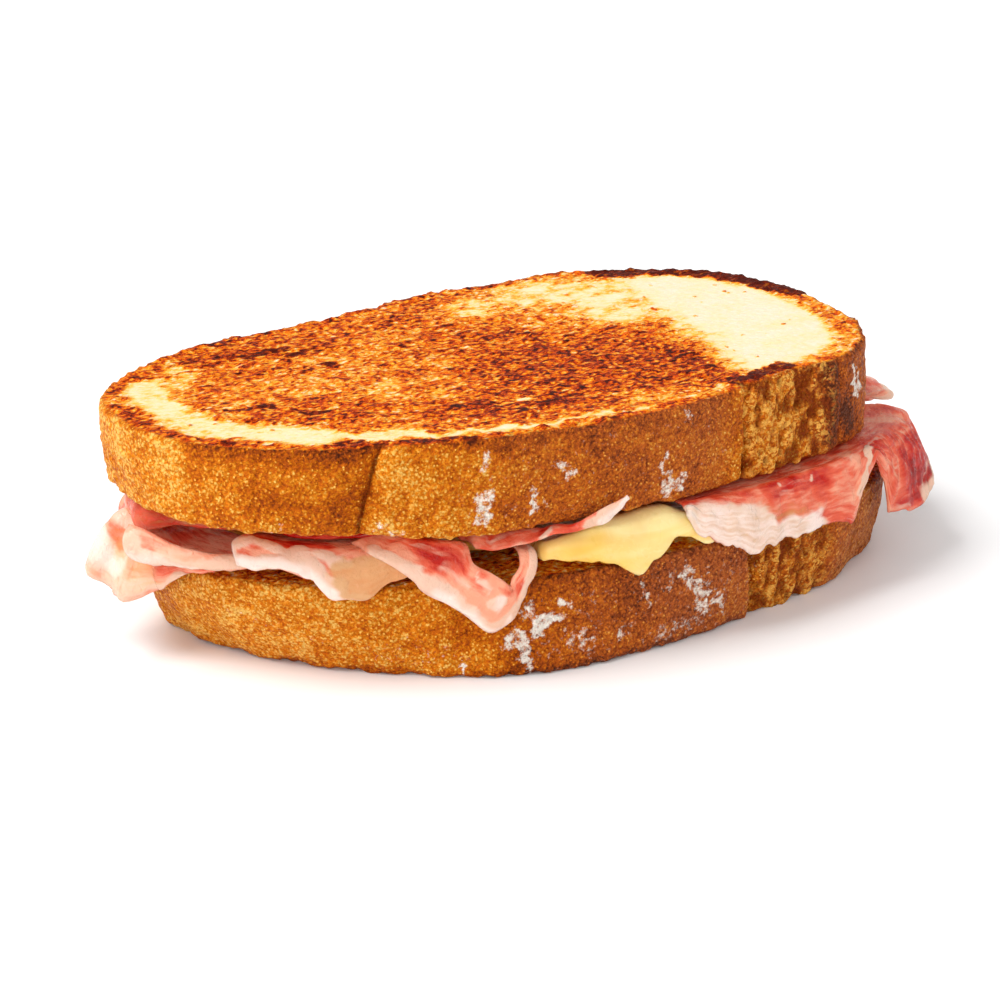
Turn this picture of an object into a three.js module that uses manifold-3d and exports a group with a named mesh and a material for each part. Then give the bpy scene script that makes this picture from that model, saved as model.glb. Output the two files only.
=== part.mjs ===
import * as THREE from "three";
import { mergeVertices } from "three/addons/utils/BufferGeometryUtils.js";
import Module from "manifold-3d";

// A toasted ham and cheese sandwich: two thick slices of a farmhouse loaf laid flat, with a slice of
// cheese and folded slices of dry-cured ham between them that hang out over the lower slice.
// Millimetres. +X runs along the slices, the front is -Y, and Z is up from the face it rests on.
// A bearing is an angle in degrees round the middle of a slice: 180 is the left end, 270 the front.

// Rows of numbers as records, so that a table below can be read by its headings.
const table = (keys, ...rows) => rows.map((row) => Object.fromEntries(keys.map((key, i) => [key, row[i]])));

// The loaf's cross-section, as its reach from the middle of the crumb and how square each corner is.
const REACH = { left: 93, right: 69, front: 46.5, back: 39.5 };
const CORNER = { frontLeft: 2.3, frontRight: 2.55, backRight: 2.5, backLeft: 2.15 };

const THICKNESS = 20.4;
const EDGE_ROUNDING = 1.9;
const BULGE = 0.5;
const GAP = 11;
const CLEARANCE = 0.3;
const HAM_THICKNESS = 1.1;
const CHEESE_THICKNESS = 2.2;

// Each slice swells beyond the plain cross-section, or stays inside it, by so much at its underside
// and at its upper face. Its fine bearings are those where the crust is creased or torn.
const SWELL = ["at", "below", "above"];
const LOWER = {
  centre: [21, 4.2],
  bottom: 0,
  wedge: 0,
  creases: [{ foot: 252, head: 252, depth: 0.6, halfWidth: 1.2 }],
  tear: { foot: 293.2, head: 289.6, width: 24.4, recess: 1.1, notch: 3.4 },
  fine: [
    { from: 287.6, to: 297.5, step: 1.1 },
    { from: 300, to: 320, step: 2 },
  ],
  // prettier-ignore
  swell: table(SWELL,
    [0, 0.5, 0.5], [15, 0, 0], [42, 1, 1], [57, 2, 2.4], [75, 1, 1], [100, 0.6, 0.8], [120, -1.2, -1.2],
    [138, -3, -2.4], [150, -0.4, 1], [160, 1.4, 2.6], [168, 1.6, 3.2], [173, -1.6, 2.6], [179, -6.6, 1],
    [187, -10.6, -1.5],
    [195, -11.6, -3], [203, -9.2, -3.4], [211, -5.6, -2.6], [219, -1.4, -1.2], [228, 2, 0], [237, 3.2, 0.5],
    [247, 3, 0.6], [260, 1.6, 0.4], [276, -0.2, 0], [290, -2.2, -0.8], [304, -3.2, -1.7], [319, -4, -0.4],
    [329, -5.4, -0.1], [340, -1.8, 0.3], [350, 0.6, 0.4], [360, 0.5, 0.5]),
};
const UPPER = {
  centre: [11.5, 3.2],
  bottom: THICKNESS + GAP,
  wedge: 3.6,
  creases: [
    { foot: 211.7, head: 215.7, depth: 2.6, halfWidth: 1.2 },
    { foot: 327, head: 325.5, depth: 0.9, halfWidth: 1.2 },
  ],
  tear: { foot: 298, head: 299, width: 24, recess: 1, notch: 1.6 },
  fine: [
    { from: 208, to: 219, step: 1 },
    { from: 295, to: 303, step: 1.2 },
    { from: 305, to: 329, step: 2 },
  ],
  // prettier-ignore
  swell: table(SWELL,
    [0, 0.5, 0.2], [15, 0, -0.4], [26, 0.4, 0.6], [42, 1.2, 1.8], [57, 2.2, 3.2], [72, 1, 1.1], [90, 1, 1.5],
    [106, 0.4, 0.6], [120, -1, -1.4], [134, -2, -2.8], [142, -2, -3], [150, 0, 0.4], [158, 1, 1.6],
    [170, 0.6, 1.3], [181, -1.6, -0.2], [190, -0.8, -0.7], [200, -0.1, -0.9], [208, -1, -0.4],
    [214, -2.2, 0.1], [219, -0.4, 0.6], [226, 1, 0.9], [241, 0.3, 1.2], [260, 0.2, 1.7], [279, 0, 0.7],
    [292, -1, -0.8], [302, -0.6, -1.5], [313, -0.2, -2.2], [324, 1.5, 1.6], [333, 2.9, 2.3], [345, 2, 1.6],
    [353, 1, 0.5], [360, 0.5, 0.2]),
};
const WEDGE_FROM_X = -18;
const WEDGE_LENGTH = 62;

const mix = (a, b, t) => a + (b - a) * t;
const clamp01 = (t) => Math.min(1, Math.max(0, t));
const smooth = (t) => clamp01(t) ** 2 * (3 - 2 * clamp01(t));
const radians = (degrees) => (degrees * Math.PI) / 180;
const bell = (offset, halfWidth) => Math.exp(-((offset / halfWidth) ** 2));

// Repeatable noise between -1 and 1 that changes over about one unit.
function hash(i, j, k) {
  const s = Math.sin(i * 127.1 + j * 311.7 + k * 74.7) * 43758.5453;
  return 2 * (s - Math.floor(s)) - 1;
}

function noise(x, y, z) {
  const [i, j, k] = [x, y, z].map(Math.floor);
  const [u, v, w] = [x - i, y - j, z - k].map(smooth);
  let sum = 0;
  for (const [di, dj, dk] of [0, 1, 2, 3, 4, 5, 6, 7].map((c) => [c & 1, (c >> 1) & 1, c >> 2])) {
    const weight = (di ? u : 1 - u) * (dj ? v : 1 - v) * (dk ? w : 1 - w);
    sum += weight * hash(i + di, j + dj, k + dk);
  }
  return sum;
}

// A column of a table at a bearing, eased from each row to the next.
function eased(rows, bearing, key) {
  const next = rows.findIndex((row) => row.at >= bearing);
  if (next === -1) return rows.at(-1)[key];
  if (next === 0) return rows[0][key];
  const [a, b] = [rows[next - 1], rows[next]];
  return mix(a[key], b[key], smooth((bearing - a.at) / (b.at - a.at)));
}

// A smooth curve through the values, at a place counted in values.
function through(values, place) {
  const i = Math.min(values.length - 2, Math.floor(place));
  const t = place - i;
  const v = [i - 1, i, i + 1, i + 2].map((k) => values[Math.min(values.length - 1, Math.max(0, k))]);
  const bend = (2 * v[0] - 5 * v[1] + 4 * v[2] - v[3]) * t * t;
  return 0.5 * (2 * v[1] + (v[2] - v[0]) * t + bend + (3 * (v[1] - v[2]) + v[3] - v[0]) * t ** 3);
}

// Shortest turn from one bearing to another, in degrees.
const turn = (from, to) => ((((to - from) % 360) + 540) % 360) - 180;
const wrapped = (bearing) => ((bearing % 360) + 360) % 360;

// How far a slice reaches at a bearing. level is 0 at its underside and 1 at its upper face.
function sliceReach(slice, bearing, level) {
  const [c, s] = [Math.cos(radians(bearing)), Math.sin(radians(bearing))];
  const across = c < 0 ? REACH.left : REACH.right;
  const along = s < 0 ? REACH.front : REACH.back;
  const front = c < 0 ? CORNER.frontLeft : CORNER.frontRight;
  const back = c < 0 ? CORNER.backLeft : CORNER.backRight;
  const n = s < 0 ? front : back;
  const plain = (Math.abs(c / across) ** n + Math.abs(s / along) ** n) ** (-1 / n);
  const [below, above] = ["below", "above"].map((key) => eased(slice.swell, wrapped(bearing), key));
  return plain + mix(below, above, Math.sin((level * Math.PI) / 2));
}

const tearStart = (slice, level) => mix(slice.tear.foot, slice.tear.head, level);

// 1 on the torn side of the loaf, where it was pulled from its neighbour, and 0 on its crust.
function tornShare(slice, bearing, level) {
  const into = turn(tearStart(slice, level), bearing);
  return smooth((into + 0.6) / 1.6) * smooth((slice.tear.width - into) / 3);
}

// How far the crust stands in from the smooth outline: its creases and the torn side with its notch.
function crustDent(slice, bearing, level) {
  let dent = slice.tear.recess * tornShare(slice, bearing, level);
  dent += slice.tear.notch * bell(turn(tearStart(slice, level), bearing) - 1.2, 1.5);
  for (const crease of slice.creases) {
    const at = mix(crease.foot, crease.head, level);
    dent += crease.depth * bell(turn(at, bearing), crease.halfWidth);
  }
  return dent;
}

// Small relief: a sandy crust, and ridges that stand upright on the torn side.
function crag(slice, bearing, level) {
  const torn = tornShare(slice, bearing, level);
  const sandy = 0.25 * noise(bearing * 0.55, level * 4, slice.bottom);
  const ridges = 0.75 * noise(bearing * 0.45, level * 1.6, slice.bottom + 7.3);
  return mix(sandy, ridges, torn);
}

// The left end of the upper slice is thinner, and it thins from below.
const wedgeLift = (slice, x) => slice.wedge * smooth((WEDGE_FROM_X - x) / WEDGE_LENGTH);

function closedMesh(points, faces) {
  const geometry = new THREE.BufferGeometry();
  geometry.setAttribute("position", new THREE.Float32BufferAttribute(points.flat(), 3));
  geometry.setIndex(signedVolume(points, faces) < 0 ? faces.toReversed() : faces);
  return geometry;
}

function signedVolume(points, faces) {
  let sum = 0;
  for (let f = 0; f < faces.length; f += 3) {
    const [a, b, c] = [0, 1, 2].map((corner) => new THREE.Vector3(...points[faces[f + corner]]));
    sum += a.dot(b.cross(c)) / 6;
  }
  return sum;
}

// A closed mesh from rings of points, with a middle point on the first and the last ring.
function ringSolid(rings, first, last) {
  const count = rings[0].length;
  const points = [first, ...rings.flat(), last];
  const faces = [];
  const id = (ring, i) => 1 + ring * count + (i % count);
  for (let i = 0; i < count; i++) {
    faces.push(0, id(0, i + 1), id(0, i));
    for (let ring = 0; ring + 1 < rings.length; ring++) {
      faces.push(id(ring, i), id(ring, i + 1), id(ring + 1, i + 1));
      faces.push(id(ring, i), id(ring + 1, i + 1), id(ring + 1, i));
    }
    faces.push(points.length - 1, id(rings.length - 1, i), id(rings.length - 1, i + 1));
  }
  return closedMesh(points, faces);
}

const SLICE_STEP = 6;
const WALL_LEVELS = [0.3, 0.5, 0.7];
const LOWER_FACE_RINGS = [0.5, 0.86];
const UPPER_FACE_RINGS = [0.95, 0.82, 0.66, 0.48, 0.26];
const FACE_RELIEF = 0.25;

// The bearings of a ring's columns: coarse steps all round, and finer ones over some stretches.
function ringBearings(coarseStep, fineStretches) {
  const steps = (from, to, step) =>
    Array.from({ length: Math.floor((to - from) / step + 1.001) }, (_, i) => from + i * step);
  const isFree = (b) => !fineStretches.some(({ from, to }) => b > from - 2.5 && b < to + 2.5);
  const coarse = steps(0, 360 - coarseStep, coarseStep).filter(isFree);
  const fine = fineStretches.flatMap(({ from, to, step }) => steps(from, to, step));
  return [...coarse, ...fine].sort((a, b) => a - b);
}

// One slice of bread. grow makes it larger all over, to cut what touches it with clearance.
function breadSlice(slice, grow = 0) {
  const bearings = ringBearings(SLICE_STEP, slice.fine);
  const at = (bearing, radius, level, relief) => {
    const x = slice.centre[0] + radius * Math.cos(radians(bearing));
    const y = slice.centre[1] + radius * Math.sin(radians(bearing));
    const below = slice.bottom - grow + wedgeLift(slice, x);
    const above = slice.bottom + THICKNESS + grow + relief;
    return [x, y, mix(below, above, level)];
  };
  const wall = (inset, level) =>
    bearings.map((bearing) => {
      const bulge = BULGE * Math.sin(Math.PI * level) - inset + grow;
      const relief = crag(slice, bearing, level) - crustDent(slice, bearing, level);
      return at(bearing, sliceReach(slice, bearing, level) + bulge + relief, level, 0);
    });
  const face = (share, level) =>
    bearings.map((bearing) => {
      const radius = (sliceReach(slice, bearing, level) - 2.5) * share;
      const [x, y] = [Math.cos, Math.sin].map((axis) => radius * axis(radians(bearing)));
      return at(bearing, radius, level, FACE_RELIEF * (noise(x * 0.14, y * 0.14, 3) - 1));
    });
  const rounding = EDGE_ROUNDING / THICKNESS;
  const rings = [
    ...LOWER_FACE_RINGS.map((share) => face(share, 0)),
    wall(EDGE_ROUNDING, 0),
    wall(EDGE_ROUNDING * 0.3, rounding * 0.3),
    wall(0, rounding),
    ...WALL_LEVELS.map((level) => wall(0, level)),
    wall(0, 1 - rounding),
    wall(EDGE_ROUNDING * 0.3, 1 - rounding * 0.3),
    wall(EDGE_ROUNDING, 1),
    ...UPPER_FACE_RINGS.map((share) => face(share, 1)),
  ];
  return ringSolid(rings, at(0, 0, 0, 0), at(0, 0, 1, -FACE_RELIEF));
}

// The place that stands a distance out from the lower slice's crust, or over it, at a height.
function overCrust(bearing, out, z) {
  const radius = sliceReach(LOWER, bearing, clamp01(z / THICKNESS)) + out;
  return new THREE.Vector3(
    LOWER.centre[0] + radius * Math.cos(radians(bearing)),
    LOWER.centre[1] + radius * Math.sin(radians(bearing)),
    z,
  );
}

// The line of a sheet from inside the sandwich, over the lip and down to its free edge, as distances
// out from the crust and heights. A sheet that reaches far slopes more than it hangs, and one that
// ends inside the crust lies flat.
function hangingSection({ reach, lift, edge, inside, tail, steps, grow }) {
  const slope = smooth((reach - 4) / 6);
  const flat = smooth((2.2 - reach) / 3);
  const drop = lift - edge;
  const hanging = [reach * mix(0.6, 0.3, slope) - 0.6, reach * mix(1, 0.64, slope), reach - 0.3];
  const lying = [reach - 2.4, reach - 1.2, reach];
  const outs = [-inside, Math.min(-2, reach - 4), ...hanging.map((out, i) => mix(out, lying[i], flat))];
  const heights = [tail, mix(tail, lift, 0.75), lift, lift - drop * mix(0.45, 0.35, slope), edge];
  const line = Array.from({ length: steps + 1 }, (_, j) => {
    const place = (j * 4) / steps;
    return new THREE.Vector2(through(outs, place), through(heights, place));
  });
  line.at(-1).addScaledVector(line.at(-1).clone().sub(line.at(-2)).normalize(), grow);
  return line;
}

// A grid of points given thickness, as a closed sheet. grow makes it larger all over.
function sheetSolid(grid, thickness, grow) {
  const [rows, columns] = [grid.length, grid[0].length];
  const half = thickness / 2 + grow;
  const beyond = (list, i, direction) => {
    const [edge, inner] = [list(i), list(i - direction)];
    return edge.clone().addScaledVector(edge.clone().sub(inner).normalize(), grow);
  };
  const longer = [
    grid[0].map((_, j) => beyond((i) => grid[i][j], 0, -1)),
    ...grid.slice(1, -1),
    grid.at(-1).map((_, j) => beyond((i) => grid[i][j], rows - 1, 1)),
  ];
  const wider = longer.map((row) => [
    beyond((j) => row[j], 0, -1),
    ...row.slice(1, -1),
    beyond((j) => row[j], columns - 1, 1),
  ]);
  const sides = [1, -1].map((side) =>
    wider.map((row, i) =>
      row.map((point, j) => {
        const along = wider[Math.min(rows - 1, i + 1)][j].clone().sub(wider[Math.max(0, i - 1)][j]);
        const across = row[Math.min(columns - 1, j + 1)].clone().sub(row[Math.max(0, j - 1)]);
        return point.clone().addScaledVector(along.cross(across).normalize(), side * half);
      }),
    ),
  );
  const points = sides.flat(2).map((point) => point.toArray());
  const faces = [];
  const quad = (a, b, c, d) => faces.push(a, b, c, a, c, d);
  const id = (side, i, j) => side * rows * columns + i * columns + j;
  for (let i = 0; i + 1 < rows; i++) {
    for (let j = 0; j + 1 < columns; j++) {
      quad(id(0, i, j), id(0, i + 1, j), id(0, i + 1, j + 1), id(0, i, j + 1));
      quad(id(1, i, j), id(1, i, j + 1), id(1, i + 1, j + 1), id(1, i + 1, j));
    }
    quad(id(0, i, 0), id(1, i, 0), id(1, i + 1, 0), id(0, i + 1, 0));
    const end = columns - 1;
    quad(id(0, i, end), id(0, i + 1, end), id(1, i + 1, end), id(1, i, end));
  }
  for (let j = 0; j + 1 < columns; j++) {
    quad(id(0, 0, j), id(0, 0, j + 1), id(1, 0, j + 1), id(1, 0, j));
    const end = rows - 1;
    quad(id(0, end, j), id(1, end, j), id(1, end, j + 1), id(0, end, j + 1));
  }
  return closedMesh(points, faces);
}

// How far a sheet reaches out over the crust, its height where it leaves the gap and its free edge's.
const HANG = ["at", "reach", "lift", "edge"];

// Ham that comes out of the gap and hangs over the lower slice. ruffle waves its hanging part.
function hangingHam({ stations, inside, tail, ruffle = 0, pitch = 7, steps, columns = 6 }) {
  const [first, last] = [stations[0].at, stations.at(-1).at];
  return (grow) => {
    const grid = Array.from({ length: steps + 1 }, (_, i) => {
      const bearing = mix(first, last, i / steps);
      const [reach, lift, edge] = HANG.slice(1).map((key) => eased(stations, bearing, key));
      const line = hangingSection({ reach, lift, edge, inside, tail, steps: columns, grow: 0 });
      return line.map(({ x, y }, j) => {
        const wave = Math.sin((bearing / pitch) * 2 * Math.PI) * smooth((j / columns - 0.3) / 0.7);
        return overCrust(bearing, x + ruffle * wave, y);
      });
    });
    return sheetSolid(grid, HAM_THICKNESS, grow);
  };
}

// A strip's two edges, each as a bearing, a height and a distance out from the crust.
const STRIP = ["lowAt", "lowZ", "lowOut", "highAt", "highZ", "highOut"];

// A strip of ham between two edges. bow rounds it outwards between them.
function hamStrip({ stations, bow, steps, columns = 3 }) {
  const value = (key, place) => through(stations.map((station) => station[key]), place);
  return (grow) => {
    const grid = Array.from({ length: steps + 1 }, (_, i) => {
      const place = (i * (stations.length - 1)) / steps;
      const [low, high] = ["low", "high"].map((edge) => ["At", "Z", "Out"].map((key) => value(edge + key, place)));
      return Array.from({ length: columns + 1 }, (_, j) => {
        const share = j / columns;
        const [bearing, z, out] = low.map((from, axis) => mix(from, high[axis], share));
        return overCrust(bearing, out + bow * 4 * share * (1 - share), z);
      });
    });
    return sheetSolid(grid, HAM_THICKNESS, grow);
  };
}

// A layer that runs through the sandwich, from stations all the way round.
function layer({ stations, thickness, inside, tail, step, fine = [], columns, ripple = 0 }) {
  const bearings = ringBearings(step, fine);
  return (grow) => {
    const half = thickness / 2 + grow;
    const lines = bearings.map((bearing) => {
      const [reach, lift, edge] = HANG.slice(1).map((key) => eased(stations, bearing, key));
      return hangingSection({ reach, lift, edge, inside, tail, steps: columns, grow });
    });
    const [upper, lower] = [1, -1].map((side) => {
      const inner = bearings.map((bearing) => {
        const radius = sliceReach(LOWER, bearing, 1);
        return overCrust(bearing, (radius - inside) * 0.5 - radius, tail + side * half).toArray();
      });
      const outer = Array.from({ length: columns + 1 }, (_, j) =>
        lines.map((line, i) => {
          const run = line[Math.min(columns, j + 1)].clone().sub(line[Math.max(0, j - 1)]).normalize();
          const wave = ripple * noise(bearings[i] * 0.12, j * 0.4, 5);
          return overCrust(bearings[i], line[j].x - side * half * run.y, line[j].y + side * half * run.x + wave).toArray();
        }),
      );
      return [inner, ...outer];
    });
    const centre = (side) => [LOWER.centre[0], LOWER.centre[1], tail + side * half];
    return ringSolid([...upper, ...lower.toReversed()], centre(1), centre(-1));
  };
}

// The cheese runs over the lip of the lower slice at the front and at the back, with two long tips.
const CHEESE = layer({
  thickness: CHEESE_THICKNESS,
  inside: 22,
  tail: 22.6,
  step: 9,
  fine: [
    { from: 76, to: 108, step: 4 },
    { from: 230, to: 290, step: 3 },
  ],
  columns: 5,
  // prettier-ignore
  stations: table(HANG,
    [0, -6, 23.2, 22.8], [60, -5, 23.2, 22.8], [79, -3, 23.8, 23.4], [84, 2.4, 26.2, 22],
    [92, 2.6, 26.4, 20], [100, 2.4, 26, 22.4], [106, -3, 23.8, 23.4], [122, -5, 23.2, 22.8],
    [150, -13, 23.2, 22.8], [228, -13, 23.2, 22.8], [232, -7, 24, 23.4], [236, 1.4, 26.4, 23.6],
    [240, 2.3, 27.2, 23.3], [246, 2.4, 27.4, 23], [251, 2.4, 27.4, 21.2], [257, 2.6, 27.4, 18],
    [260, 2.4, 27.4, 20.6], [267, 2.3, 27.5, 24.2], [275, 2.2, 27, 21.9], [284, 1.6, 25.6, 20.6],
    [296, -0.5, 24, 22.6], [306, -5, 23.2, 22.8], [360, -6, 23.2, 22.8]),
});

// Ham fills the gap over the cheese, set back from the crust.
const HAM_MIDDLE = layer({
  thickness: 3.4,
  inside: 26,
  tail: 28.6,
  ripple: 0.5,
  step: 9,
  columns: 3,
  // prettier-ignore
  stations: table(HANG,
    [0, -14, 28.7, 28.5], [60, -14, 28.7, 28.5], [85, -17, 28.7, 28.5], [110, -14, 28.7, 28.5],
    [180, -14, 29, 28.7], [212, -14, 28.7, 28.5], [235, -17, 28.7, 28.5], [290, -17, 28.7, 28.5],
    [360, -14, 28.7, 28.5]),
});

// At the front right a sheet hangs over the cheese, turns up over a rolled lip and falls in a bell.
const HAM_RIGHT = hangingHam({
  inside: 11,
  tail: 29.8,
  steps: 46,
  // prettier-ignore
  stations: table(HANG,
    [268.5, 3, 30.3, 29.5], [273, 4, 30.2, 23.6], [281, 4.2, 30, 20.4], [287, 4, 29.8, 17.2],
    [290.4, 3.8, 29.6, 18.2], [303, 3.5, 29.2, 18.2], [309, 3.5, 29.2, 17.8], [314.4, 3.6, 29.5, 17.2],
    [317, 3.5, 29.9, 21.6], [319.5, 3.3, 30, 24.8], [322.4, 3, 30.2, 28.6], [324.5, 3.8, 30.2, 23],
    [327, 5.4, 30.2, 14], [330.5, 8.6, 30, 12.2], [334, 11, 29.8, 13.4], [337, 11.8, 29.4, 15.4],
    [340, 9.8, 29.2, 19.6], [343.5, 6.2, 29.2, 25], [347, 1, 29.4, 28.4]),
});

const HAM_RIGHT_END = hangingHam({
  inside: 10,
  tail: 31,
  steps: 14,
  columns: 5,
  ruffle: 0.4,
  // prettier-ignore
  stations: table(HANG,
    [347, -1.5, 31, 30.6], [350, 5, 30.8, 29.2], [356, 6, 31, 28.6], [364, 3, 30.6, 28.2], [371, -1.5, 30.4, 29.8]),
});

// At the left end a slice folds down over the crust, and a narrow one lies across its upper side.
const HAM_LEFT_FOLD = hangingHam({
  inside: 10,
  tail: 25.2,
  steps: 24,
  ruffle: 0.35,
  pitch: 6.5,
  // prettier-ignore
  stations: table(HANG,
    [161, 1.6, 25.8, 23], [166, 5.4, 26.4, 20.4], [171, 9.6, 26.6, 18], [175.5, 11.8, 27, 15.4],
    [178.5, 11.2, 26.8, 13.4], [181.5, 9.6, 25.4, 13.6], [184.5, 6.8, 23.8, 16.6], [187.5, 3.2, 23, 20.8],
    [190.5, 1.6, 22.8, 21.6]),
});

const HAM_LEFT_STRIP = hamStrip({
  bow: 1.5,
  steps: 18,
  // prettier-ignore
  stations: table(STRIP,
    [183.4, 23.8, 9.6, 183, 30.6, 9], [185.6, 22.8, 8, 184.6, 30.8, 8.4], [187.2, 23.2, 6, 186.6, 29, 6.4],
    [188.6, 23, 4.8, 188.2, 28, 5], [190.4, 23, 3.8, 189.9, 27.8, 4], [192.2, 23.5, 3, 191.2, 26.8, 3.2],
    [194, 23.6, 0.8, 193.4, 26, 0.8], [196, 23.6, -4.5, 195.4, 26, -4.5]),
});

const HAM_UPPER_LEFT = hangingHam({
  inside: 9,
  tail: 31.6,
  steps: 20,
  columns: 5,
  ruffle: 0.5,
  pitch: 9,
  // prettier-ignore
  stations: table(HANG,
    [171, 0.4, 33, 31.6], [176.5, 5.4, 33.2, 27.4], [181, 5.6, 32.8, 28], [186, 2.6, 32.4, 30.2],
    [193, -1.6, 32, 30.6], [203, -1.6, 31, 29.8], [210, -3, 30.8, 30]),
});

const HAM_FRONT_LEFT = hangingHam({
  inside: 9,
  tail: 28,
  steps: 24,
  // prettier-ignore
  stations: table(HANG,
    [193, 2.2, 29.6, 27.8], [194.4, 3, 29.6, 24.9], [196.2, 3.2, 29, 23.9], [199, 3, 28.8, 24.9],
    [202, 3, 28.6, 22.8], [205, 3, 28, 19], [208.6, 3, 27.4, 19.2], [212, 2.6, 27, 22], [215, 2, 26.6, 23.4]),
});

// The long strip at the front slants down to a point and turns back up into the gap as a loop.
const HAM_FRONT_LOOP = hamStrip({
  bow: 0.5,
  steps: 34,
  // prettier-ignore
  stations: table(STRIP,
    [205, 28.6, -2.5, 208, 30.6, -5], [210.1, 27.4, 2.6, 211.9, 30.3, -1.5], [214.9, 23, 3.4, 218, 29.8, 0],
    [216.5, 20.4, 3.4, 222, 29, 1], [219.9, 17.3, 3.2, 223.8, 25.6, 3], [222.8, 14.6, 3, 226.7, 23.9, 4.2],
    [226.2, 11, 2.8, 229.3, 21.6, 4.6], [229.4, 12.6, 3, 230, 20.4, 4.6], [231.3, 15.9, 3.2, 229.9, 20.9, 4.4],
    [232.6, 19.6, 3.4, 230.3, 22.4, 4], [233.9, 22.9, 3.2, 231.3, 24.3, 3.2], [234, 25.4, 1.4, 230.6, 26.4, 1],
    [231.6, 26.2, -3, 228.6, 26.6, -4]),
});

const HAM_FRONT_SLIVER = hamStrip({
  bow: 0.4,
  steps: 22,
  columns: 2,
  // prettier-ignore
  stations: table(STRIP,
    [219.5, 28, -5, 217.5, 29.6, -7], [224.8, 27.6, 1, 223.7, 30, -2.2], [229.8, 27.8, 2, 229.2, 30, -1.6],
    [236, 28.5, 2.4, 235.8, 30.4, -0.6], [242.7, 29.6, 3, 243.1, 31.6, 2.6], [246.9, 30.9, 3.4, 246.9, 33, 3.4],
    [249.5, 31.9, 3.6, 249.5, 33.8, 3.6], [253.1, 34.2, 3.8, 252.7, 34.9, 3.8]),
});

// The far side is filled in the same manner as the near side.
const HAM_BACK_LEFT = hangingHam({
  inside: 9,
  tail: 28,
  steps: 22,
  ruffle: 0.7,
  pitch: 8,
  // prettier-ignore
  stations: table(HANG,
    [116, -1, 29.6, 28.4], [123, 3.4, 29.4, 22.4], [131, 4, 29.2, 19.8], [139, 3.6, 29.8, 24.4],
    [147, 4.4, 30.4, 22.4], [155, -1, 31, 29.8]),
});

const HAM_BACK_RIGHT = hangingHam({
  inside: 9,
  tail: 28,
  steps: 22,
  ruffle: 0.7,
  pitch: 9,
  // prettier-ignore
  stations: table(HANG,
    [30, -1, 29.6, 28.4], [40, 3.6, 29.2, 23.2], [52, 4.2, 28.8, 19.8], [64, 3.4, 29.4, 24.4], [75, -1, 29.6, 28.4]),
});

const wasm = await Module();
wasm.setup();

function solidOf(geometry) {
  const merged = mergeVertices(geometry, 1e-4);
  const vertProperties = merged.attributes.position.array;
  const triVerts = new Uint32Array(merged.index.array);
  return new wasm.Manifold(new wasm.Mesh({ numProp: 3, vertProperties, triVerts }));
}

function geometryOf(solid) {
  const { vertProperties, triVerts } = solid.getMesh();
  const geometry = new THREE.BufferGeometry();
  geometry.setAttribute("position", new THREE.BufferAttribute(vertProperties, 3));
  geometry.setIndex(new THREE.BufferAttribute(triVerts, 1));
  return geometry;
}

// What is left of a filling once what it touches is cut away with clearance, as its largest piece.
function cutClear(shape, neighbours) {
  const solid = neighbours.reduce((left, neighbour) => left.subtract(neighbour), solidOf(shape(0)));
  return solid.decompose().sort((a, b) => b.volume() - a.volume())[0];
}

const COLOURS = {
  crust: { color: 0xc57f36, roughness: 0.8 },
  cheese: { color: 0xf0d778, roughness: 0.4 },
  ham: { color: 0xc9605a, roughness: 0.35 },
};

function named(name, geometry, colours) {
  const mesh = new THREE.Mesh(geometry, new THREE.MeshStandardMaterial({ metalness: 0, ...colours }));
  mesh.name = name;
  return mesh;
}

const toastie = new THREE.Group();
toastie.add(named("bread_lower", breadSlice(LOWER), COLOURS.crust));
toastie.add(named("bread_upper", breadSlice(UPPER), COLOURS.crust));

// Where two fillings meet, the one further down this list gives way.
const FILLINGS = [
  ["ham_front_loop", HAM_FRONT_LOOP, COLOURS.ham],
  ["ham_front_left", HAM_FRONT_LEFT, COLOURS.ham],
  ["ham_left_strip", HAM_LEFT_STRIP, COLOURS.ham],
  ["ham_left_fold", HAM_LEFT_FOLD, COLOURS.ham],
  ["ham_front_sliver", HAM_FRONT_SLIVER, COLOURS.ham],
  ["ham_upper_left", HAM_UPPER_LEFT, COLOURS.ham],
  ["ham_right", HAM_RIGHT, COLOURS.ham],
  ["ham_right_end", HAM_RIGHT_END, COLOURS.ham],
  ["ham_back_left", HAM_BACK_LEFT, COLOURS.ham],
  ["ham_back_right", HAM_BACK_RIGHT, COLOURS.ham],
  ["cheese_slice", CHEESE, COLOURS.cheese],
  ["ham_middle", HAM_MIDDLE, COLOURS.ham],
];
const placed = [LOWER, UPPER].map((slice) => solidOf(breadSlice(slice, CLEARANCE)));
for (const [name, shape, colours] of FILLINGS) {
  toastie.add(named(name, geometryOf(cutClear(shape, placed)), colours));
  placed.push(solidOf(shape(CLEARANCE)));
}

// The origin is under the middle of the whole, on the face it rests on.
const box = new THREE.Box3().setFromObject(toastie);
const middle = box.getCenter(new THREE.Vector3());
toastie.position.set(-middle.x, -middle.y, -box.min.z);

export default toastie;
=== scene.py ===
"""A toasted ham and cheese sandwich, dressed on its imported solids.

Two slices of a farmhouse loaf lie flat, with a slice of cheese and folded slices of dry-cured ham
between them. Shapes are worked out in millimetres in the sandwich's own frame, where a bearing is an
angle in degrees round the middle of a slice: 180 is the left end and 270 the front. A mesh is moved to
the frame of the solids, and into metres, as it is made.
"""

import logging
import math
from abc import ABC, abstractmethod
from dataclasses import dataclass, field
from enum import Enum

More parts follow.
